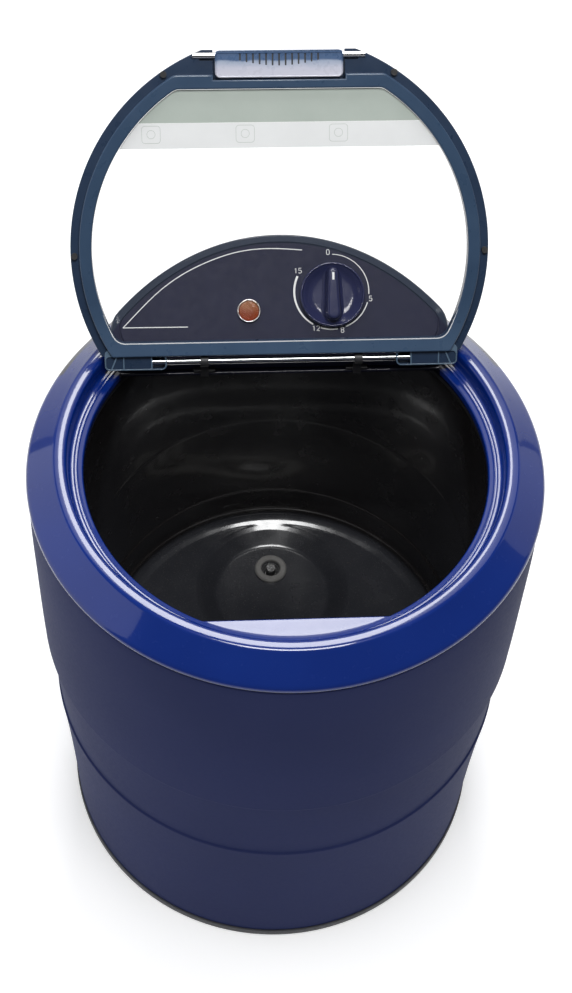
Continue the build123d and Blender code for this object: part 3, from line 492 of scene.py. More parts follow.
def offset(pts, d):
    """Moves a closed outline inwards by d (its left side when it runs anticlockwise)."""
    n = len(pts)
    out = []
    for i in range(n):
        a, b, c = pts[i - 1], pts[i], pts[(i + 1) % n]
        e1 = np.array([b[0] - a[0], b[1] - a[1]]); e2 = np.array([c[0] - b[0], c[1] - b[1]])
        l1, l2 = np.hypot(*e1), np.hypot(*e2)
        n1 = np.array([-e1[1], e1[0]]) / l1; n2 = np.array([-e2[1], e2[0]]) / l2
        m = n1 + n2
        m = m / max(0.25, 1 + n1.dot(n2))
        out.append((b[0] + m[0] * d, b[1] + m[1] * d))
    return out


def area2(pts):
    return sum(pts[i - 1][0] * pts[i][1] - pts[i][0] * pts[i - 1][1] for i in range(len(pts)))


def slab(name, plane, outer, holes, n0, n1, top=0.8, bot=0.4, seg=4, sharp=38.0, top_in=None):
    """A plate with rounded edges: outer outline and holes, from n0 to n1 along the plane's normal."""
    loops = []
    for k, l in enumerate([outer] + holes):
        if (area2(l) > 0) != (k == 0):
            l = l[::-1]
        loops.append(l)
    verts, faces, cap_lo, cap_hi = [], [], [], []
    for l in loops:
        rows = [(bot + 0.35, n0)] if bot > 0 else [(0, n0)]
        if bot > 0:
            for i in range(seg + 1):
                a = math.pi / 2 * i / seg
                rows.append((bot * (1 - math.sin(a)), n0 + bot * (1 - math.cos(a))))
        if top > 0:
            for i in range(seg + 1):
                a = math.pi / 2 * i / seg
                rows.append((top * (1 - math.cos(a)), n1 - top * (1 - math.sin(a))))
            rows.append((top + 0.35, n1))
        else:
            rows.append((0, n1))
        base = len(verts)
        for d, h in rows:
            for x, y in offset(l, d) if d else l:
                verts.append(plane(x, y, h))
        m = len(l)
        faces += grid_faces(len(rows), m, False, True, base)
        cap_lo.append([base + i for i in range(m)])
        cap_hi.append([base + (len(rows) - 1) * m + i for i in range(m)])
    me = bpy.data.meshes.new(name)
    bm = bmesh.new()
    vs = [bm.verts.new((v[0] * MM, v[1] * MM, v[2] * MM)) for v in verts]
    for f in faces:
        bm.faces.new([vs[i] for i in f])
    bm.edges.ensure_lookup_table()
    for cap in (cap_lo, cap_hi):
        es = []
        for l in cap:
            for i in range(len(l)):
                e = bm.edges.get((vs[l[i - 1]], vs[l[i]]))
                es.append(e)
        bmesh.ops.triangle_fill(bm, edges=es, use_beauty=True)
    bmesh.ops.recalc_face_normals(bm, faces=bm.faces)
    lim = math.radians(sharp)
    for f in bm.faces:
        f.smooth = True
    for e in bm.edges:
        if len(e.link_faces) == 2 and e.calc_face_angle(0) > lim:
            e.smooth = False
    bm.to_mesh(me)
    bm.free()
    o = bpy.data.objects.new(name, me)
    SCENE.collection.objects.link(o)
    return o


def join(name, objs):
    """One object out of several closed shells."""
    bm = bmesh.new()
    for o in objs:
        bm.from_mesh(o.data)
    me = bpy.data.meshes.new(name)
    bm.to_mesh(me)
    bm.free()
    for o in objs:
        old = o.data
        bpy.data.objects.remove(o)
        bpy.data.meshes.remove(old)
    o = bpy.data.objects.new(name, me)
    SCENE.collection.objects.link(o)
    return o


def rrect(x0, x1, y0, y1, r, k=6):
    out = []
    for cx, cy, a0 in ((x1 - r, y0 + r, -90), (x1 - r, y1 - r, 0), (x0 + r, y1 - r, 90), (x0 + r, y0 + r, 180)):
        for i in range(k + 1):
            a = math.radians(a0 + 90 * i / k)
            out.append((cx + r * math.cos(a), cy + r * math.sin(a)))
    return out


def dshape(R, cy, y0, y1, f0, f1, na=90, nl=24, nf=8, x_notch=None):
    """Circle of radius R about (0, cy) cut off straight at y0 and y1, with rounded corners f0 (at y0) and f1 (at y1).
    Anticlockwise, always the same number of points in the same order."""
    def corner(yl, f, side):
        # centre of the rounding between the circle and the straight edge; side -1 for the lower edge
        yc = yl - side * f
        cx = math.sqrt(max(0, (R - f) ** 2 - (yc - cy) ** 2))
        return cx, yc
    c0x, c0y = corner(y0, f0, -1)
    c1x, c1y = corner(y1, f1, 1)
    a0 = math.atan2(c0y - cy, c0x)
    a1 = math.atan2(c1y - cy, c1x)
    pts = []
    for i in range(nl):                                   # lower edge, left to right
        pts.append((-c0x + 2 * c0x * i / nl, y0))
    for i in range(nf):                                   # lower right corner
        a = -math.pi / 2 + (a0 + math.pi / 2) * i / nf
        pts.append((c0x + f0 * math.cos(a), c0y + f0 * math.sin(a)))
    for i in range(na):                                   # right arc
        a = a0 + (a1 - a0) * i / na
        pts.append((R * math.cos(a), cy + R * math.sin(a)))
    for i in range(nf):                                   # upper right corner
        a = a1 + (math.pi / 2 - a1) * i / nf
        pts.append((c1x + f1 * math.cos(a), c1y + f1 * math.sin(a)))
    top = [(c1x - 2 * c1x * i / nl, y1) for i in range(nl)]
    if x_notch:
        w, depth = x_notch
        top = [(c1x, y1), (w + 8, y1), (w, y1), (w, depth), (-w, depth), (-w, y1), (-w - 8, y1)]
    pts += top
    for i in range(nf):                                   # upper left corner
        a = math.pi / 2 + (math.pi - a1 - math.pi / 2) * i / nf
        pts.append((-c1x + f1 * math.cos(a), c1y + f1 * math.sin(a)))
    for i in range(na):                                   # left arc
        a = math.pi - a1 + (a1 - a0) * i / na
        pts.append((R * math.cos(a), cy + R * math.sin(a)))
    for i in range(nf):                                   # lower left corner
        a = math.pi - a0 + (math.pi / 2 + a0) * i / nf
        pts.append((-c0x + f0 * math.cos(a), c0y + f0 * math.sin(a)))
    return pts


def ribbon(plane, path, w0, w1, n0, n1):
    """A thin raised stroke along a path of (x, y), its width going from w0 to w1."""
    m = len(path)
    vs, fs = [], []
    for i, (x, y) in enumerate(path):
        a = path[max(0, i - 1)]; b = path[min(m - 1, i + 1)]
        tx, ty = b[0] - a[0], b[1] - a[1]
        l = math.hypot(tx, ty)
        nx, ny = -ty / l, tx / l
        w = (w0 + (w1 - w0) * i / (m - 1)) / 2
        vs += [plane(x + nx * w, y + ny * w, n0), plane(x + nx * w, y + ny * w, n1),
               plane(x - nx * w, y - ny * w, n1), plane(x - nx * w, y - ny * w, n0)]
    for i in range(m - 1):
        for k in range(4):
            a = i * 4 + k; b = i * 4 + (k + 1) % 4
            fs.append((a, b, b + 4, a + 4))
    fs.append((0, 1, 2, 3)); e = (m - 1) * 4
    fs.append((e, e + 1, e + 2, e + 3))
    return vs, fs


def arc_path(cx, cy, r, a0, a1, k=40):
    return [(cx + r * math.cos(math.radians(a0 + (a1 - a0) * i / k)), cy + r * math.sin(math.radians(a0 + (a1 - a0) * i / k)))
            for i in range(k + 1)]


def strokes(name, plane, items, n0, n1):
    vs, fs = [], []
    for path, w0, w1 in items:
        v, f = ribbon(plane, path, w0, w1, n0, n1)
        b = len(vs)
        vs += v
        fs += [tuple(i + b for i in q) for q in f]
    return new_object(name, vs, fs)


def place(o, body, mat, slot, *nodes):
    o.data.materials.clear()
    o.data.materials.append(MAT[mat])
    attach(o, body)
    if nodes:
        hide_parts(*nodes)
    return o


# ---------------------------------------------------------------- foot, cabinet
def build_cabinet():
    prof = [(244.75, 5.4)] + nspline([(244.7, 5.8), (245.0, 30), (246.0, 86), (248.5, 172), (251.9, 240), (252.3, 246)], 4)
    prof += nspline([(252.3, 246.2), (252.45, 247.6), (252.0, 249.3), (250.75, 250.6), (250.6, 252)], 3)
    prof += [(250.7, 255), (252.4, 310), (254.4, 364), (254.5, 366)]
    prof += nspline([(254.52, 366.5), (255.0, 367.6), (256.7, 368.4), (257.45, 369.6), (257.7, 373)], 3)
    prof += nspline([(257.7, 374.5), (257.84, 410), (257.2, 500), (256.6, 560), (255.2, 606)], 4)
    prof += nspline([(255.0, 608), (254.6, 610.8), (253.6, 612.2), (252.6, 612.5)], 3)
    prof += [(252.6, 616.8), (251.4, 616.8), (251.4, 611.7), (253.6, 609.5), (255.4, 560), (256.0, 500), (256.5, 373),
             (253.3, 366), (249.4, 252), (251.1, 246), (247.3, 172), (244.8, 86), (243.8, 30), (243.5, 5.4)]
    o = lathe("cabinet_body", prof, 384)
    place(o, "machine", "cabinet_paint", "cabinet_paint", "cabinet_shell")
    # outer shell has two rear holes, under the spigot and the cord gland
    for x, r in ((-90, 13.2), (70, 8.2)):
        c = slab("cut", lambda a, b, n: (x + a, 200 + n, 92 + b), [(r * math.cos(math.radians(i * 7.5)), r * math.sin(math.radians(i * 7.5))) for i in range(48)],
                 [], 0, 80, 0, 0)
        m = o.modifiers.new("hole", "BOOLEAN")
        m.operation = "DIFFERENCE"; m.object = c; m.solver = "EXACT"
        dg = bpy.context.evaluated_depsgraph_get()
        me = bpy.data.meshes.new_from_object(o.evaluated_get(dg))
        o.modifiers.clear()
        old = o.data
        o.data = me
        bpy.data.meshes.remove(old)
        me.name = "cabinet_body"
        bpy.data.objects.remove(c)
    prof = [(234, 0.0), (244.9, 0.0), (245.9, 0.7), (246.5, 2.0), (246.6, 4), (246.6, 11.0), (246.3, 12.4), (245.6, 13.3), (245.2, 13.5),
            (245.2, 5.0), (243.2, 5.0), (243.2, 17.8), (234, 17.8)]
    o = lathe("foot_rim", prof, 256)
    place(o, "machine", "foot_plastic", "foot_plastic", "base_rim")


# ---------------------------------------------------------------- top ring with its D-shaped mouth
def mouth_r(a, d):
    s = math.sin(a)
    r = 200.0 + d
    if s > 0:
        r = min(r, (114.8 + d) / s)
    elif s < 0:
        r = min(r, (180.0 + d) / -s)
    return r


def seat_z(r):
    return 621.0 if r < 200 else 621.0 + (r - 200.0) * 4.0 / 13.0


def build_ring():
    ang = [2 * math.pi * i / 540 for i in range(540)]
    for base, y in ((math.asin(114.8 / 200), 1), (math.asin(180 / 200), -1)):
        for side in (0, 1):
            for k in (-1.2, -0.6, -0.3, -0.1, 0, 0.1, 0.3, 0.6, 1.2):
                a = base + math.radians(k)
                a = a if side == 0 else math.pi - a
                ang.append((a if y > 0 else -a) % (2 * math.pi))
    ang = sorted(set(round(a, 6) for a in ang))
    rear0, rear1 = math.asin(114.8 / 200), math.pi - math.asin(114.8 / 200)

    def lip(a):
        """Depth of the lip's lower edge: the rear edge has none."""
        e = math.radians(1.0)
        w = min(max((a - rear0) / e, 0), 1) * min(max((rear1 - a) / e, 0), 1)
        return 613.0 + 5.0 * w
    rows = []
    # (kind, value): "m" rows follow the mouth's outline, "r" rows are circles
    top = [("m", 0.0, -2.2), ("m", 0.12, -1.2), ("m", 0.5, -0.5), ("m", 1.1, -0.08), ("m", 1.6, 0.0)]
    under = []
    outer = [(203.4, 622.05), (206.0, 622.85), (206.35, 623.25), (206.9, 623.3), (207.3, 623.25), (209.2, 623.85), (209.5, 624.25),
             (210.1, 624.35), (210.6, 624.3), (212.0, 624.72), (212.9, 625.4), (213.5, 626.8), (214.0, 631.5), (214.5, 636.3)]
    outer += nspline([(214.8, 637.8), (215.4, 640.2), (216.6, 641.8), (218.4, 642.75), (220.6, 643.1), (223.4, 643.2), (226.2, 643.0), (227.9, 642.4), (229.3, 641.4)], 4)
    outer += [(230.4, 640.45), (236.0, 635.9), (242.0, 631.05), (248.0, 626.2), (252.4, 622.65)]
    outer += nspline([(253.3, 621.9), (254.5, 620.7), (255.5, 619.3)], 3)
    outer += nspline([(255.9, 618.5), (256.25, 617.2), (256.2, 616.0), (255.7, 615.45), (254.6, 615.4)], 3)
    outer += [(253.4, 615.5), (251.8, 619.6), (246.0, 624.4), (234.0, 634.1), (226.0, 640.0), (220.4, 639.4), (217.6, 636.0), (215.8, 622.4), (213.0, 620.6), (207.0, 619.3)]
    vs = []
    nr = 0

    def add(fn):
        nonlocal nr
        for a in ang:
            vs.append(fn(a))
        nr += 1

    def P(r, a, z):
        return (r * math.cos(a), r * math.sin(a), z)
    for _, d, dz in top:
        add(lambda a: P(mouth_r(a, d), a, 621.0 + dz + (seat_z(mouth_r(a, d)) - 621.0)))
    for f in (0.25, 0.5, 0.75):
        def fn(a, f=f):
            r0 = mouth_r(a, 1.6)
            r = r0 + (202.6 - r0) * f
            return P(r, a, seat_z(r))
        add(fn)
    for r, z in outer:
        add(lambda a: P(r, a, z))
    for f in (0.3, 0.7):
        def fn(a, f=f):
            r1 = mouth_r(a, 3.0)
            r = 206.0 + (r1 - 206.0) * f
            return P(r, a, 618.0 + (1.1 if r > 200.5 else 0) * (r - 200.5) / 6.5)
        add(fn)
    add(lambda a: P(mouth_r(a, 3.0), a, 618.0))
    add(lambda a: P(mouth_r(a, 3.0), a, lip(a) + 0.0))
    add(lambda a: P(mouth_r(a, 2.4), a, lip(a) - 0.0 if lip(a) > 617 else lip(a) - 0.35))
    add(lambda a: P(mouth_r(a, 0.6), a, lip(a) - 0.0 if lip(a) > 617 else lip(a) - 0.35))
    add(lambda a: P(mouth_r(a, 0.0), a, lip(a) + 0.3))
    o = new_object("top_ring_shell", vs, grid_faces(nr, len(ang), True, True), 40)
    place(o, "machine", "ring_gloss", "ring_gloss", "top_ring")


# ---------------------------------------------------------------- tub
def ramp_int(x, a, b, s0, s1):
    """Integral from a to x of a slope that goes from s0 to s1 over a..b (x inside)."""
    x = min(max(x, a), b)
    t = (x - a) / (b - a)
    return (b - a) * (s0 * t + (s1 - s0) * t * t / 2)


def floor_w(p):
    """Rise of the floor towards the wall."""
    z = ramp_int(p, 186.0, 189.0, 0, 0.48)
    if p > 189.0:
        z += (min(p, 192.2) - 189.0) * 0.48
    if p > 192.2:
        z += ramp_int(p, 192.2, 197.0, 0.56, 0.95)
    return z


def floor_d(d):
    """Fall of the floor into the round dish."""
    if d >= 93:
        return 0.0
    z = ramp_int(93 - d, 0, 3.5, 0, 0.48)
    if d < 89.5:
        z += (89.5 - max(d, 86.0)) * 0.48
    if d < 86:
        z += ramp_int(86 - d, 0, 1.5, 0.48, 0.66)
    if d < 84.5:
        z += (84.5 - max(d, 70.4)) * 0.66
    if d < 70.4:
        z += ramp_int(70.4 - d, 0, 5.4, 0.66, 0)
    return -z


def floor_z(x, y):
    return 236.0 + floor_w(math.hypot(x, y)) + floor_d(math.hypot(x, y - 96.5))


def build_tub():
    n = 400
    ang = [2 * math.pi * (i + 0.5) / n for i in range(n)]
    rows = []
    wall = [(208.0, 602.0), (206.6, 601.9), (206.1, 601.4), (206.0, 600.5), (206.0, 560), (206, 500), (206, 450), (206, 428)]
    wall += nspline([(206, 427.5), (205.88, 425.6), (205.75, 423.5), (205.88, 421.4), (206, 419.5)], 3)
    wall += [(206, 400), (206, 350), (206, 300), (206.0, 288.6)]
    wall += nspline([(205.95, 287.4), (205.5, 286.1), (204.6, 285.3), (204.05, 284.6), (203.95, 283.0)], 4)
    wall += [(203.8, 276), (203.2, 262.0)]
    wall += nspline([(203.05, 256.6), (202.6, 253.6), (201.6, 251.6), (200.3, 250.7), (199.6, 249.8), (199.4, 248.2)], 3)
    wall += nspline([(199.25, 246.4), (198.7, 244.4), (197.95, 242.9), (197.0, 241.88)], 4)
    for r, z in wall:
        rows.append([(r * math.cos(a), r * math.sin(a), z + floor_d(math.hypot(r * math.cos(a), r * math.sin(a) - 96.5)) * max(0, 1 - (z - 240.4) / 6) if z < 246.8 else z) for a in ang])
    k = 64
    for i in range(1, k + 1):
        t = (i / k) ** 1.7
        row = []
        for a in ang:
            x0, y0 = 197.0 * math.cos(a), 197.0 * math.sin(a)
            x1, y1 = 93.0 * math.cos(a), 96.5 + 93.0 * math.sin(a)
            x, y = x0 + (x1 - x0) * t, y0 + (y1 - y0) * t
            row.append((x, y, floor_z(x, y)))
        rows.append(row)
    for d in [92.2, 91.4, 90.6, 89.8, 89, 88, 87, 86, 85.6, 85.2, 84.8, 84.4, 82, 79, 76, 73, 70.8, 70, 69.2, 68.4, 67.6, 66.8, 66, 65, 64]:
        rows.append([(d * math.cos(a), 96.5 + d * math.sin(a), floor_z(d * math.cos(a), 96.5 + d * math.sin(a))) for a in ang])
    for t in [0.2, 0.4, 0.6, 0.8, 1.0]:
        row = []
        for a in ang:
            x0, y0 = 64 * math.cos(a), 96.5 + 64 * math.sin(a)
            x1, y1 = 10.6 * math.cos(a), 130.5 + 10.6 * math.sin(a)
            x, y = x0 + (x1 - x0) * t, y0 + (y1 - y0) * t
            row.append((x, y, floor_z(x, y)))
        rows.append(row)
    zc = floor_z(0, 130.5)
    rows.append([(10.4 * math.cos(a), 130.5 + 10.4 * math.sin(a), zc - 0.3) for a in ang])
    rows.append([(10.4 * math.cos(a), 130.5 + 10.4 * math.sin(a), zc - 1.5) for a in ang])
    for d, cy, dz in ((62.6, 96.5, 1.5), (67, 96.5, 1.5), (76, 96.5, 1.6), (84, 96.5, 1.6), (88, 96.5, 1.55), (93.4, 96.5, 1.5)):
        rows.append([(d * math.cos(a), cy + d * math.sin(a), floor_z(d * math.cos(a), cy + d * math.sin(a)) - dz) for a in ang])
    for t in (0.35, 0.7, 0.92):
        row = []
        for a in ang:
            x1, y1 = 197.6 * math.cos(a), 197.6 * math.sin(a)
            x0, y0 = 93.4 * math.cos(a), 96.5 + 93.4 * math.sin(a)
            x, y = x0 + (x1 - x0) * t, y0 + (y1 - y0) * t
            row.append((x, y, floor_z(x, y) - 1.5))
        rows.append(row)
    for r, z in ((198.2, 239.3), (200.4, 243.4), (201.4, 249.0), (204.5, 252.4), (205.3, 281.5), (207.6, 286.0), (207.6, 420), (207.6, 600.1), (209.4, 600.1), (209.4, 601.4), (209.0, 602.0)):
        rows.append([(r * math.cos(a), r * math.sin(a), z) for a in ang])
    vs = [p for r in rows for p in r]
    o = new_object("tub_enamelled", vs, grid_faces(len(rows), n, True, True), 50)
    c = slab("cut", lambda a, b, h: (-110 + a, -60 + b, 226 + h), [(16 * math.cos(math.radians(i * 7.5)), 16 * math.sin(math.radians(i * 7.5))) for i in range(48)],
             [], 0, 20, 0, 0)
    m = o.modifiers.new("hole", "BOOLEAN")
    m.operation = "DIFFERENCE"; m.object = c; m.solver = "EXACT"
    dg = bpy.context.evaluated_depsgraph_get()
    me = bpy.data.meshes.new_from_object(o.evaluated_get(dg))
    o.modifiers.clear()
    old = o.data
    o.data = me
    bpy.data.meshes.remove(old)
    bpy.data.objects.remove(c)
    place(o, "machine", "tub_enamel", "tub_enamel", "tub")


# ---------------------------------------------------------------- console
RING_TOP = [(0, 621.2), (200, 621.2), (213.2, 625.3), (214.7, 637.6), (217.1, 641.7), (219.7, 642.9), (223.4, 643.35), (226.4, 643.1),
            (229.5, 641.5), (252.6, 622.8), (256.6, 617.0)]


def ring_top(r):
    for (r0, z0), (r1, z1) in zip(RING_TOP, RING_TOP[1:]):
        if r <= r1:
            return z0 + (z1 - z0) * (r - r0) / (r1 - r0)
    return 617.4


def cshape(d):
    """Plan outline of the console moved inwards by d, with its outward directions."""
    R, cy, y0 = 250.5 - d, -26.0, 121.0 + d
    f = max(24.0 - d, 1.2)
    yc = y0 + f
    cx = math.sqrt((R - f) ** 2 - (yc - cy) ** 2)
    a0 = math.atan2(yc - cy, cx)
    pts = []
    for i in range(120):
        u = i / 120
        x = -cx + 2 * cx * u
        pts.append((x, y0, 0.0, -1.0))
    for i in range(12):
        a = -math.pi / 2 + (a0 + math.pi / 2) * i / 12
        pts.append((cx + f * math.cos(a), yc + f * math.sin(a), math.cos(a), math.sin(a)))
    for i in range(240):
        a = a0 + (math.pi - 2 * a0) * i / 240
        pts.append((R * math.cos(a), cy + R * math.sin(a), math.cos(a), math.sin(a)))
    for i in range(12):
        a = math.pi - a0 + (math.pi / 2 + a0) * i / 12
        pts.append((-cx + f * math.cos(a), yc + f * math.sin(a), math.cos(a), math.sin(a)))
    return pts


def build_console():
    Nn = np.array([0, -math.sin(math.radians(36)), math.cos(math.radians(36))])
    tan = math.tan(math.radians(36))

    def plane_z(y, n=0.0):
        return 630.0 + (y - 110.0) * tan + n / math.cos(math.radians(36))
    rows = []
    base = cshape(0)
    rho, drop = 2.6, 1.3
    edge = []
    for x, y, mx, my in base:
        m = np.array([mx, my, 0.0])
        E = np.array([x, y, plane_z(y, -drop)])
        c = E - rho * (m + Nn) / (1 + m.dot(Nn))
        edge.append((m, c))
    # wall, from its foot on the ring to the start of the rounded rim
    wall_hi = [c + rho * m for m, c in edge]
    wall_lo = []
    for (x, y, mx, my), w in zip(base, wall_hi):
        z = min(ring_top(math.hypot(x, y)) + 0.1, w[2] - 0.4)
        wall_lo.append((x, y, z))
    inner = cshape(3.0)
    in_lo = [(x, y, min(ring_top(math.hypot(x, y)) + 0.1, plane_z(y, -3.6) - 0.4)) for x, y, _, _ in inner]
    in_hi = [(x, y, plane_z(y, -3.6)) for x, y, _, _ in inner]
    rows.append(in_hi)
    rows.append(in_lo)
    rows.append([(x * 1.0, y, z) for x, y, z in wall_lo])
    for t in (0.33, 0.67, 1.0):
        rows.append([(l[0], l[1], l[2] + (h[2] - l[2]) * t) for l, h in zip(wall_lo, wall_hi)])
    k = 8
    for i in range(1, k + 1):
        row = []
        for m, c in edge:
            th = math.acos(max(-1, min(1, m.dot(Nn))))
            v = (math.sin(th * (1 - i / k)) * m + math.sin(th * i / k) * Nn) / math.sin(th)
            row.append(tuple(c + rho * v))
        rows.append(row)
    last = rows[-1]

    def panel_row(d, n):
        return [(x, y, plane_z(y, n)) for x, y, _, _ in cshape(d)]
    # the band leans outwards, then a narrow groove, then the flat panel
    r8 = panel_row(8.6, -0.15)
    rows.append([tuple(np.array(a) + (np.array(b) - np.array(a)) * 0.06) for a, b in zip(last, r8)])
    rows.append([tuple(np.array(a) + (np.array(b) - np.array(a)) * 0.94) for a, b in zip(last, r8)])
    rows.append(r8)
    for d, n in ((8.9, -0.45), (9.1, -1.0), (10.0, -1.05), (10.2, -0.6), (10.5, -0.12), (10.9, 0.0), (11.6, 0.0)):
        rows.append(panel_row(d, n))
    nper = len(base)
    vs = [p for r in rows for p in r]
    fs = grid_faces(len(rows), nper, False, True)
    bm = bmesh.new()
    v = [bm.verts.new((p[0] * MM, p[1] * MM, p[2] * MM)) for p in vs]
    for f in fs:
        bm.faces.new([v[i] for i in f])
    holes = []
    for x, t, r in ((53.8, 75.2, 5.0), (-31.4, 60.5, 9.0)):
        lo_ = [bm.verts.new(tuple(c * MM for c in con_at(x + p[0], t + p[1], -3.6))) for p in circle(r, 40)]
        hi_ = [bm.verts.new(tuple(c * MM for c in con_at(x + p[0], t + p[1], 0.0))) for p in circle(r, 40)]
        for i in range(40):
            bm.faces.new((lo_[i - 1], lo_[i], hi_[i], hi_[i - 1]))
        holes.append((lo_, hi_))
    for k_, start in ((0, 0), (1, (len(rows) - 1) * nper)):
        es = [bm.edges.get((v[start + (i - 1) % nper], v[start + i])) for i in range(nper)]
        for h_ in holes:
            es += [bm.edges.get((h_[k_][i - 1], h_[k_][i])) for i in range(40)]
        bmesh.ops.triangle_fill(bm, edges=es, use_beauty=True)
    bmesh.ops.recalc_face_normals(bm, faces=bm.faces)
    for f in bm.faces:
        f.smooth = True
    for e in bm.edges:
        if len(e.link_faces) == 2 and e.calc_face_angle(0) > math.radians(32):
            e.smooth = False
    me = bpy.data.meshes.new("console_moulding")
    bm.to_mesh(me)
    bm.free()
    o = bpy.data.objects.new("console_moulding", me)
    SCENE.collection.objects.link(o)
    place(o, "machine", "console_dark", "console_dark", "console_cover")


def circle(r, k=48, cx=0.0, cy=0.0):
    return [(cx + r * math.cos(2 * math.pi * i / k), cy + r * math.sin(2 * math.pi * i / k)) for i in range(k)]


def cut(o, c, solver="EXACT", sharp=None):
    m = o.modifiers.new("cut", "BOOLEAN")
    m.operation = "DIFFERENCE"; m.object = c; m.solver = solver
    dg = bpy.context.evaluated_depsgraph_get()
    me = bpy.data.meshes.new_from_object(o.evaluated_get(dg))
    o.modifiers.clear()
    old = o.data
    name = old.name
    o.data = me
    bpy.data.meshes.remove(old)
    me.name = name
    mc = c.data
    bpy.data.objects.remove(c)
    bpy.data.meshes.remove(mc)
    bm = bmesh.new()
    bm.from_mesh(me)
    lim = math.radians(sharp or 38)
    for e in bm.edges:
        if len(e.link_faces) == 2 and e.calc_face_angle(0) > lim:
            e.smooth = False
    bm.to_mesh(me)
    bm.free()


def digits(text, plane, cx, cy, size, n0, n1):
    """Dial numerals drawn as raised strokes on a 4 x 6 grid."""
    shapes = {
        "0": [[(0.2, 0), (0.8, 0), (1, 0.25), (1, 0.75), (0.8, 1), (0.2, 1), (0, 0.75), (0, 0.25), (0.2, 0)]],
        "1": [[(0.15, 0.75), (0.55, 1), (0.55, 0)]],
        "2": [[(0, 0.78), (0.2, 1), (0.8, 1), (1, 0.8), (1, 0.6), (0, 0), (1, 0)]],
        "5": [[(0.95, 1), (0.1, 1), (0.05, 0.55), (0.7, 0.6), (1, 0.42), (1, 0.2), (0.75, 0), (0.2, 0), (0, 0.15)]],
        "8": [[(0.25, 0.53), (0.02, 0.7), (0.02, 0.85), (0.22, 1), (0.78, 1), (0.98, 0.85), (0.98, 0.7), (0.75, 0.53), (1, 0.32), (1, 0.18), (0.78, 0), (0.22, 0), (0, 0.18), (0, 0.32), (0.25, 0.53), (0.75, 0.53)]],
    }
    items = []
    w = size * 0.58
    total = len(text) * w + (len(text) - 1) * size * 0.28
    x0 = cx - total / 2
    for ch in text:
        for s in shapes[ch]:
            items.append(([(x0 + p[0] * w, cy - size / 2 + p[1] * size) for p in s], size * 0.13, size * 0.13))
        x0 += w + size * 0.28
    return items


def build_print():
    items = []
    items.append(([(-93.8 - 65.9 * i / 20, 45.3 + 0.3 * i / 20) for i in range(21)], 0.9, 0.9))
    items.append(([(-159.7, 45.6), (-154.5, 50.9), (-149.3, 56.2)] + nspline([(-144.1, 61.5), (-123.5, 80.9), (-100.7, 97.2), (-70.5, 111.8), (-39.1, 121.1), (-8, 123.6), (24.1, 121.6)], 8), 0.9, 0.9))
    c = (53.4, 78.6)

    def ang(p):
        return math.degrees(math.atan2(p[1] - c[1], p[0] - c[0]))
    marks = {"0": (50.6, 117.1), "5": (90.6, 71.5), "8": (63.2, 41.4), "12": (37.7, 43.9), "15": (21.6, 99.2)}
    gap = 6.5
    a15, a0, a5, a8, a12 = (ang(marks[k]) for k in ("15", "0", "5", "8", "12"))
    # the arc grows thicker towards 15
    spans = [(a0 - gap, a5 + gap, 0.7, 1.0), (a5 - gap, a8 + gap, 1.0, 1.3), (a8 - gap, a12 + gap, 1.3, 1.5), (a12 - gap, a15 - 360 + gap + 1, 1.5, 2.2)]
    for s0, s1, w0, w1 in spans:
        items.append((arc_path(c[0], c[1], 38.2, s0, s1, 36), w0, w1))
    for k, p in marks.items():
        r = 40.5
        a = math.radians(ang(p))
        items += digits(k, None, c[0] + r * math.cos(a), c[1] + r * math.sin(a) * 1.0, 5.0, 0, 0)
    o = strokes("console_print", con_at, items, 0.0, 0.12)
    place(o, "machine", "band_white", "band_white")


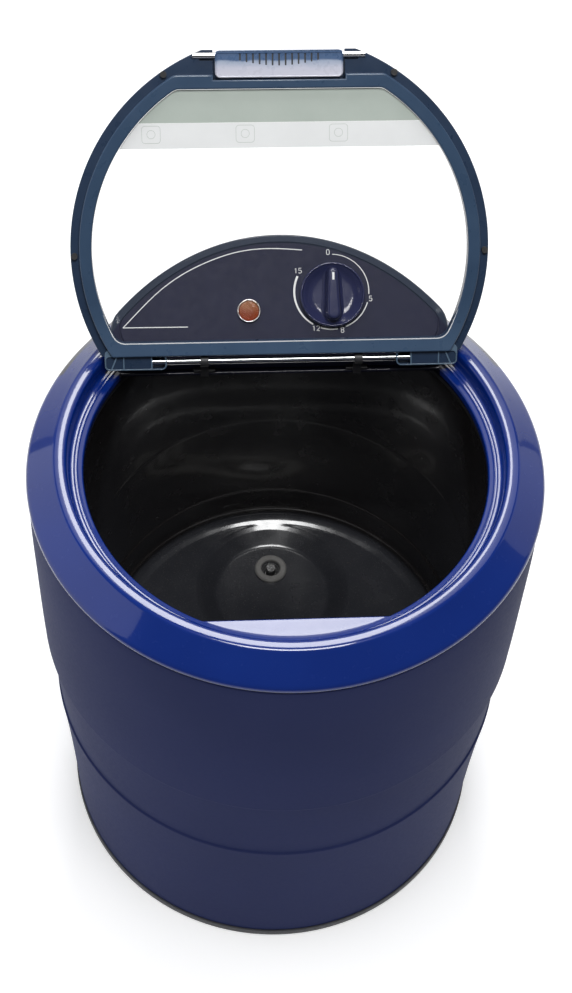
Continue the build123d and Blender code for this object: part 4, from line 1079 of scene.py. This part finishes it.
def build_lamp():
    kx, kt = -31.4, 60.5
    prof = [(10.32, 0.2), (12.2, 0.2), (12.2, 1.6), (12.0, 2.2), (11.5, 2.65), (11.1, 2.75), (10.75, 2.6), (10.45, 2.2), (10.32, 1.6)]
    o = lathe("lamp_bezel_ring", prof, 96, (kx, kt), con_at)
    place(o, "machine", "bezel_silver", "bezel_silver", "lamp_bezel")
    # prismatic lens: a low dome broken into small four-sided facets
    vs, fs = [], []
    cell = 1.7
    R = 9.6
    m = int(R / cell) + 2
    idx = {}

    def height(x, y):
        d = math.hypot(x, y)
        return 3.35 - 1.5 * (d / R) ** 2
    bm = bmesh.new()

    def vert(x, y, n):
        p = con_at(kx + x, kt + y, n)
        return bm.verts.new((p[0] * MM, p[1] * MM, p[2] * MM))
    rings = [(10.18, 0.2), (10.18, 1.0), (9.95, 1.6), (9.6, 1.85)]
    k = 48
    rv = []
    for r, n in rings:
        rv.append([vert(r * math.cos(2 * math.pi * i / k), r * math.sin(2 * math.pi * i / k), n) for i in range(k)])
    for a, b in zip(rv, rv[1:]):
        for i in range(k):
            bm.faces.new((a[i], a[(i + 1) % k], b[(i + 1) % k], b[i]))
    bm.faces.new(rv[0][::-1])
    inner = rv[-1]
    steps = 6
    prev = inner
    for s in range(1, steps):
        r = 9.6 * (1 - s / steps)
        kk = k
        cur = []
        for i in range(kk):
            a = 2 * math.pi * (i + (0.5 if s % 2 else 0)) / kk
            up = 0.32 if (i + s) % 2 else -0.1
            cur.append(vert(r * math.cos(a), r * math.sin(a), height(r, 0) + up * (r / 9.6)))
        for i in range(kk):
            j = (i + 1) % kk
            bm.faces.new((prev[i], prev[j], cur[i] if s % 2 else cur[j]))
            if s % 2:
                bm.faces.new((prev[j], cur[j], cur[i]))
            else:
                bm.faces.new((prev[i], cur[j], cur[i]))
        prev = cur
    top = vert(0, 0, 3.55)
    for i in range(k):
        bm.faces.new((prev[i], prev[(i + 1) % k], top))
    bmesh.ops.recalc_face_normals(bm, faces=bm.faces)
    me = bpy.data.meshes.new("lamp_prism")
    bm.to_mesh(me)
    bm.free()
    o = bpy.data.objects.new("lamp_prism", me)
    SCENE.collection.objects.link(o)
    place(o, "machine", "lens_amber", "lens_amber", "lamp_lens")


def capsule(cx, cy, length, r_hi, r_lo, k=14):
    """Bar outline along y: rounded ends of radius r_lo (low y) and r_hi (high y)."""
    h = length / 2
    yl, yh = -h + r_lo, h - r_hi
    s = (r_lo - r_hi) / (yh - yl)
    b = math.asin(s)
    pts = []
    for i in range(k + 1):
        a = -math.pi + b + (math.pi - 2 * b) * 0 + (math.pi + 0 * b) * i / k
        a = -math.pi + b + (math.pi - 2 * b) * i / k + 0.0
        pts.append((r_lo * math.cos(a), yl + r_lo * math.sin(a)))
    for i in range(k + 1):
        a = -b + (math.pi + 2 * b) * i / k
        pts.append((r_hi * math.cos(a), yh + r_hi * math.sin(a)))
    return [(cx + x, cy + y) for x, y in pts]


def stack(name, plane, outline, rows, sharp=38.0):
    """Closed body from one outline taken at several heights, each moved inwards by its own amount."""
    m = len(outline)
    bm = bmesh.new()
    all_rows = []
    for d, n in rows:
        l = offset(outline, d) if d else outline
        all_rows.append([bm.verts.new(tuple(c * MM for c in plane(x, y, n))) for x, y in l])
    for a, b in zip(all_rows, all_rows[1:]):
        for i in range(m):
            bm.faces.new((a[i], a[(i + 1) % m], b[(i + 1) % m], b[i]))
    for l in (all_rows[0], all_rows[-1]):
        es = [bm.edges.get((l[i - 1], l[i])) for i in range(m)]
        bmesh.ops.triangle_fill(bm, edges=es, use_beauty=True)
    bmesh.ops.recalc_face_normals(bm, faces=bm.faces)
    for f in bm.faces:
        f.smooth = True
    for e in bm.edges:
        if len(e.link_faces) == 2 and e.calc_face_angle(0) > math.radians(sharp):
            e.smooth = False
    me = bpy.data.meshes.new(name)
    bm.to_mesh(me)
    bm.free()
    o = bpy.data.objects.new(name, me)
    SCENE.collection.objects.link(o)
    return o


def build_knob():
    kx, kt = 53.8, 75.2
    prof = [(3.05, 0.6), (32.7, 0.6), (33.2, 1.0), (33.3, 1.8)] + nspline([(33.2, 5.6), (32.9, 7.2), (32.2, 8.05), (31.4, 8.2), (30.8, 7.85), (30.4, 7.3)], 3)
    prof += nspline([(30.0, 7.0), (28.2, 6.1), (26.0, 4.9), (23.6, 3.9), (21.0, 3.3), (17.5, 3.1)], 4) + [(10, 3.1), (3.05, 3.1)]
    skirt = lathe("skirt", prof, 180, (kx, kt), con_at)
    grip = stack("grip", con_at, capsule(kx, kt, 53, 5.4, 7.4, 16),
                 [(-4.4, 3.0), (-4.3, 3.25), (-3.0, 3.9), (-1.8, 5.2), (-0.9, 7.5), (-0.3, 11.0), (0.1, 15.5), (0.45, 18.3), (0.75, 19.4), (1.3, 20.2), (2.1, 20.75), (3.1, 20.9), (3.6, 20.9)], 50)
    o = join("timer_dial", [skirt, grip])
    place(o, "dial", "knob_dark", "knob_dark", "timer_knob")
    t = strokes("dial_mark", con_at, [([(kx, kt + 13.5), (kx, kt + 21.0)], 2.2, 2.2)], 20.9, 21.0)
    place(t, "dial", "band_white", "band_white")


# ---------------------------------------------------------------- lid
def build_lid():
    win = dshape(187.0, 110, 20.8, 267.5, 13, 13)
    flange = slab("flange", lid_at, dshape(208.2, 110, 6.6, 304.3, 3.0, 6.0, x_notch=(64.0, 276.0)), [win], -3, 3, 0.7, 0.7, 4)
    raised = slab("raised", lid_at, dshape(199.2, 110, 6.6, 281.0, 3.0, 9.0, x_notch=(64.0, 276.0)), [win], 3.0, 10.0, 1.5, 0, 5)
    for sx in (-1, 1):
        cut(flange, slab("cut", lid_at, [(sx * 70 - 7, 294.1), (sx * 70 + 7, 294.1), (sx * 70 + 7, 305.1), (sx * 70 - 7, 305.1)], [], 0, 12, 0, 0))
    rod_cut = slab("cut", lambda a, b, h: lid_at(h, 299.0 + a, 3.0 + b), circle(3.0, 40), [], -84, 84, 0, 0)
    cut(flange, rod_cut)
    pieces = [flange, raised]
    for sx in (-1, 1):
        out = rrect(sx * 147 - 31, sx * 147 + 31, -7.5, 13.5, 5, 6)
        hole = rrect(sx * 147 - 29.6, sx * 147 + 29.6, -6.1, 6.4, 3.6, 6)
        wall = slab("wall", lid_at, out, [hole], -6, 6, 0.5, 0.8, 3)
        back = slab("back_plate", lid_at, rrect(sx * 147 - 29.9, sx * 147 + 29.9, -6.4, 6.7, 3.6, 6), [], -6, -4.3, 0, 0.3, 2)
        cut(wall, slab("cut", lambda a, b, h: lid_at(sx * 147 + h, a, b), circle(3.55, 40), [], -40, 40, 0, 0))
        pieces += [wall, back]
        xs = sorted((sx * 131.1, sx * 176.9))
        pieces.append(slab("cover", lid_at, rrect(xs[0], xs[1], -6.4, 6.7, 3.0, 4), [], 3.75, 4.3, 0, 0, 2))
        for xr in (131.1, 159.1):
            pieces.append(slab("rib", lambda a, b, h, xr=xr: lid_at(sx * (xr + h), a, b), [(-6.3, 3.76), (6.6, 3.76), (6.6, 5.6), (-6.3, 5.6)],
                               [], -0.7, 0.7, 0.25, 0, 2))
        pieces.append(slab("rib", lambda a, b, h: lid_at(sx * (131.1 + h), a, b), [(-6.3, -4.4), (6.6, -4.4), (6.6, 3.9), (-6.3, 3.9)],
                           [circle(3.62, 32)], -0.7, 0.7, 0, 0, 2))
        d = math.hypot(5.6, 12.9)
        ux, us = -5.6 / d, 12.9 / d
        pieces.append(slab("rib", lambda a, b, h: lid_at(sx * (171.4 + a * ux + h * us), -6.3 + a * us + h * (-ux), b),
                           [(0, 3.76), (d, 3.76), (d, 5.6), (0, 5.6)], [], -0.7, 0.7, 0.25, 0, 2))
    # guard behind the handle: a U-shaped gutter under the gap round it
    U1 = [(-66.5, 296), (-66.5, 273.5), (66.5, 273.5), (66.5, 296), (60, 296), (60, 281.5), (-60, 281.5), (-60, 296)]
    U2 = [(-66.5, 296), (-66.5, 273.5), (66.5, 273.5), (66.5, 296), (65, 296), (65, 275), (-65, 275), (-65, 296)]
    pieces.append(slab("gutter", lid_at, U1, [], -8.3, -7.7, 0.1, 0.2, 2))
    pieces.append(slab("gutter_wall", lid_at, U2, [], -8.0, -2.8, 0, 0, 2))
    o = join("lid_moulding", pieces)
    place(o, "lid", "lid_dark", "lid_dark", "lid_frame")


def build_handle():
    out = rrect(-62, 62, 278, 303.8, 5, 8)
    floor_out = rrect(-61.2, 61.2, 278.8, 303.4, 4.2, 8)
    slits = []
    for i in range(13):
        x = -37.8 + 6.3 * i
        s0 = 289.0 + 5.0 * ((i - 6) / 6.0) ** 2
        slits.append(rrect(x - 0.8, x + 0.8, s0, 301.4, 0.7, 4))
    base = slab("handle_base", lid_at, floor_out, [], -1.6, 6.35, 0, 2.0, 4)
    pan = slab("handle_pan", lid_at, floor_out, slits, 6.35, 7.5, 0.12, 0, 2)
    wall = slab("handle_wall", lid_at, out, [rrect(-60.4, 60.4, 279.6, 302.2, 3.6, 8)], -0.6, 8.5, 0.7, 0.4, 4)
    bar = slab("handle_bar", lid_at, rrect(-60.8, 60.8, 300.6, 303.4, 1.3, 4), [], 6.5, 8.3, 0.9, 0, 4)
    for o in (base, wall):
        cut(o, slab("cut", lambda a, b, h: lid_at(h, 299.0 + a, 3.0 + b), circle(3.05, 40), [], -70, 70, 0, 0))
    # Painted shade: a thin black sheet just under the slits makes them read dark.
    dark = slab("handle_slit_painted_shade", lid_at, rrect(-40, 40, 288.2, 301.9, 1, 3), [], 6.36, 6.40, 0, 0, 2)
    place(dark, "handle", "fitting_black", "fitting_black")
    o = join("handle_moulding", [base, pan, wall, bar])
    place(o, "handle", "lid_dark", "lid_dark", "lid_handle")
    o.data.materials.clear()
    o.data.materials.append(handle_plastic())


def build_icons():
    items = []
    for x in (-125.4, -33.7, 57.6):
        p = rrect(x - 9, x + 9, 216.5, 233.0, 3, 5)
        items.append((p + [p[0]], 0.35, 0.35))
        items.append((arc_path(x, 225, 4.0, 0, 360, 28), 0.35, 0.35))
    o = strokes("band_icons", lid_at, items, 5.55, 5.62)
    place(o, "lid", "band_grey", "band_grey")


def build_window_edge_highlight():
    # Painted highlight: a thin white strip, tapered at both ends, laid along the lower edge of the window where the
    # raised band's rounding catches the light.
    win = dshape(187.0, 110, 20.8, 267.5, 13, 13)
    m = offset(win, -0.55)
    low = [(p[0], p[1]) for p in m if p[1] < 52.0]
    left = sorted([p for p in low if p[0] < -150], key=lambda p: -p[1])
    right = sorted([p for p in low if p[0] > 150], key=lambda p: p[1])
    mid = sorted([p for p in low if abs(p[0]) <= 150], key=lambda p: p[0])
    path = left + mid + right
    k = len(path)
    items = []
    cutk = 8
    items.append((path[:cutk + 1], 0.15, 0.9))
    items.append((path[cutk:k - cutk], 0.9, 0.9))
    items.append((path[k - cutk - 1:], 0.9, 0.15))
    o = strokes("window_edge_painted_highlight", lid_at, items, 9.9, 10.04)
    place(o, "lid", "band_white", "band_white")


build_cabinet()
build_ring()
build_tub()
build_console()
build_print()
build_lamp()
build_knob()
build_lid()
build_handle()
build_icons()
build_window_edge_highlight()

# ---------------------------------------------------------------- floor and light
def stage_floor():
    me = bpy.data.meshes.new("floor")
    bm = bmesh.new()
    prof = []
    for i in range(25):
        prof.append((-6.0 + i * 0.5, 0.0))
    for i in range(1, 13):
        a = math.radians(i * 7.5)
        prof.append((6.0 + 3.0 * math.sin(a), 3.0 - 3.0 * math.cos(a)))
    prof += [(9.0, 3.0 + 0.5 * i) for i in range(1, 10)]
    rows = []
    for x in (-9.0, -4.5, 0.0, 4.5, 9.0):
        rows.append([bm.verts.new((x, y, z)) for y, z in prof])
    for a, b in zip(rows, rows[1:]):
        for i in range(len(prof) - 1):
            bm.faces.new((a[i], a[i + 1], b[i + 1], b[i]))
    bmesh.ops.recalc_face_normals(bm, faces=bm.faces)
    bm.to_mesh(me); bm.free()
    o = bpy.data.objects.new("floor", me)
    SCENE.collection.objects.link(o)
    for f in me.polygons:
        f.use_smooth = True
    m, nt, p = material("floor_pale")
    v = coords(nt)
    nt.links.new(mix(nt, span(nt, noise(nt, v, 1.5, 2.0, 0.5), 0.3, 0.7), (0.88, 0.88, 0.885), (0.90, 0.90, 0.90)), p.inputs["Base Color"])
    p.inputs["Roughness"].default_value = 0.85
    p.inputs["Specular IOR Level"].default_value = 0.1
    p.inputs["Emission Color"].default_value = (1.0, 1.0, 1.0, 1.0)
    p.inputs["Emission Strength"].default_value = 0.36
    me.materials.append(m)


stage_floor()


def area(name, loc, target, size, size_y, power, color=(1, 1, 1), spread=math.pi):
    ld = bpy.data.lights.new(name, "AREA")
    ld.shape = "RECTANGLE"
    ld.size = size
    ld.size_y = size_y
    ld.energy = power
    ld.color = color
    ld.spread = spread
    lo = bpy.data.objects.new(name, ld)
    SCENE.collection.objects.link(lo)
    lo.location = loc
    lo.rotation_euler = (Vector(target) - Vector(loc)).to_track_quat("-Z", "Y").to_euler()
    return lo


area("box_top", (0.05, -0.48, 2.75), (0, 0, 0.45), 0.95, 0.80, 43)
area("box_rear", (0.04, 1.35, 2.8), (0, -0.2, 0.6), 0.74, 1.0, 28)
area("ceiling_rear", (0.2, 1.7, 3.0), (0, 0, 0.3), 3.6, 1.6, 24)
area("panel_left", (-2.4, 0.25, 1.3), (0, 0, 0.6), 3.1, 2.0, 17)
area("panel_right", (2.6, 0.9, 1.3), (0, 0, 0.5), 1.5, 1.6, 4)

world = bpy.data.worlds.new("world")
world.use_nodes = True
bg = world.node_tree.nodes["Background"]
bg.inputs[0].default_value = (0.93, 0.96, 1.0, 1)
bg.inputs[1].default_value = 0.12
SCENE.world = world
SCENE.view_settings.view_transform = "Standard"
SCENE.view_settings.look = "None"
SCENE.view_settings.exposure = 0.0
SCENE.view_settings.gamma = 1.0
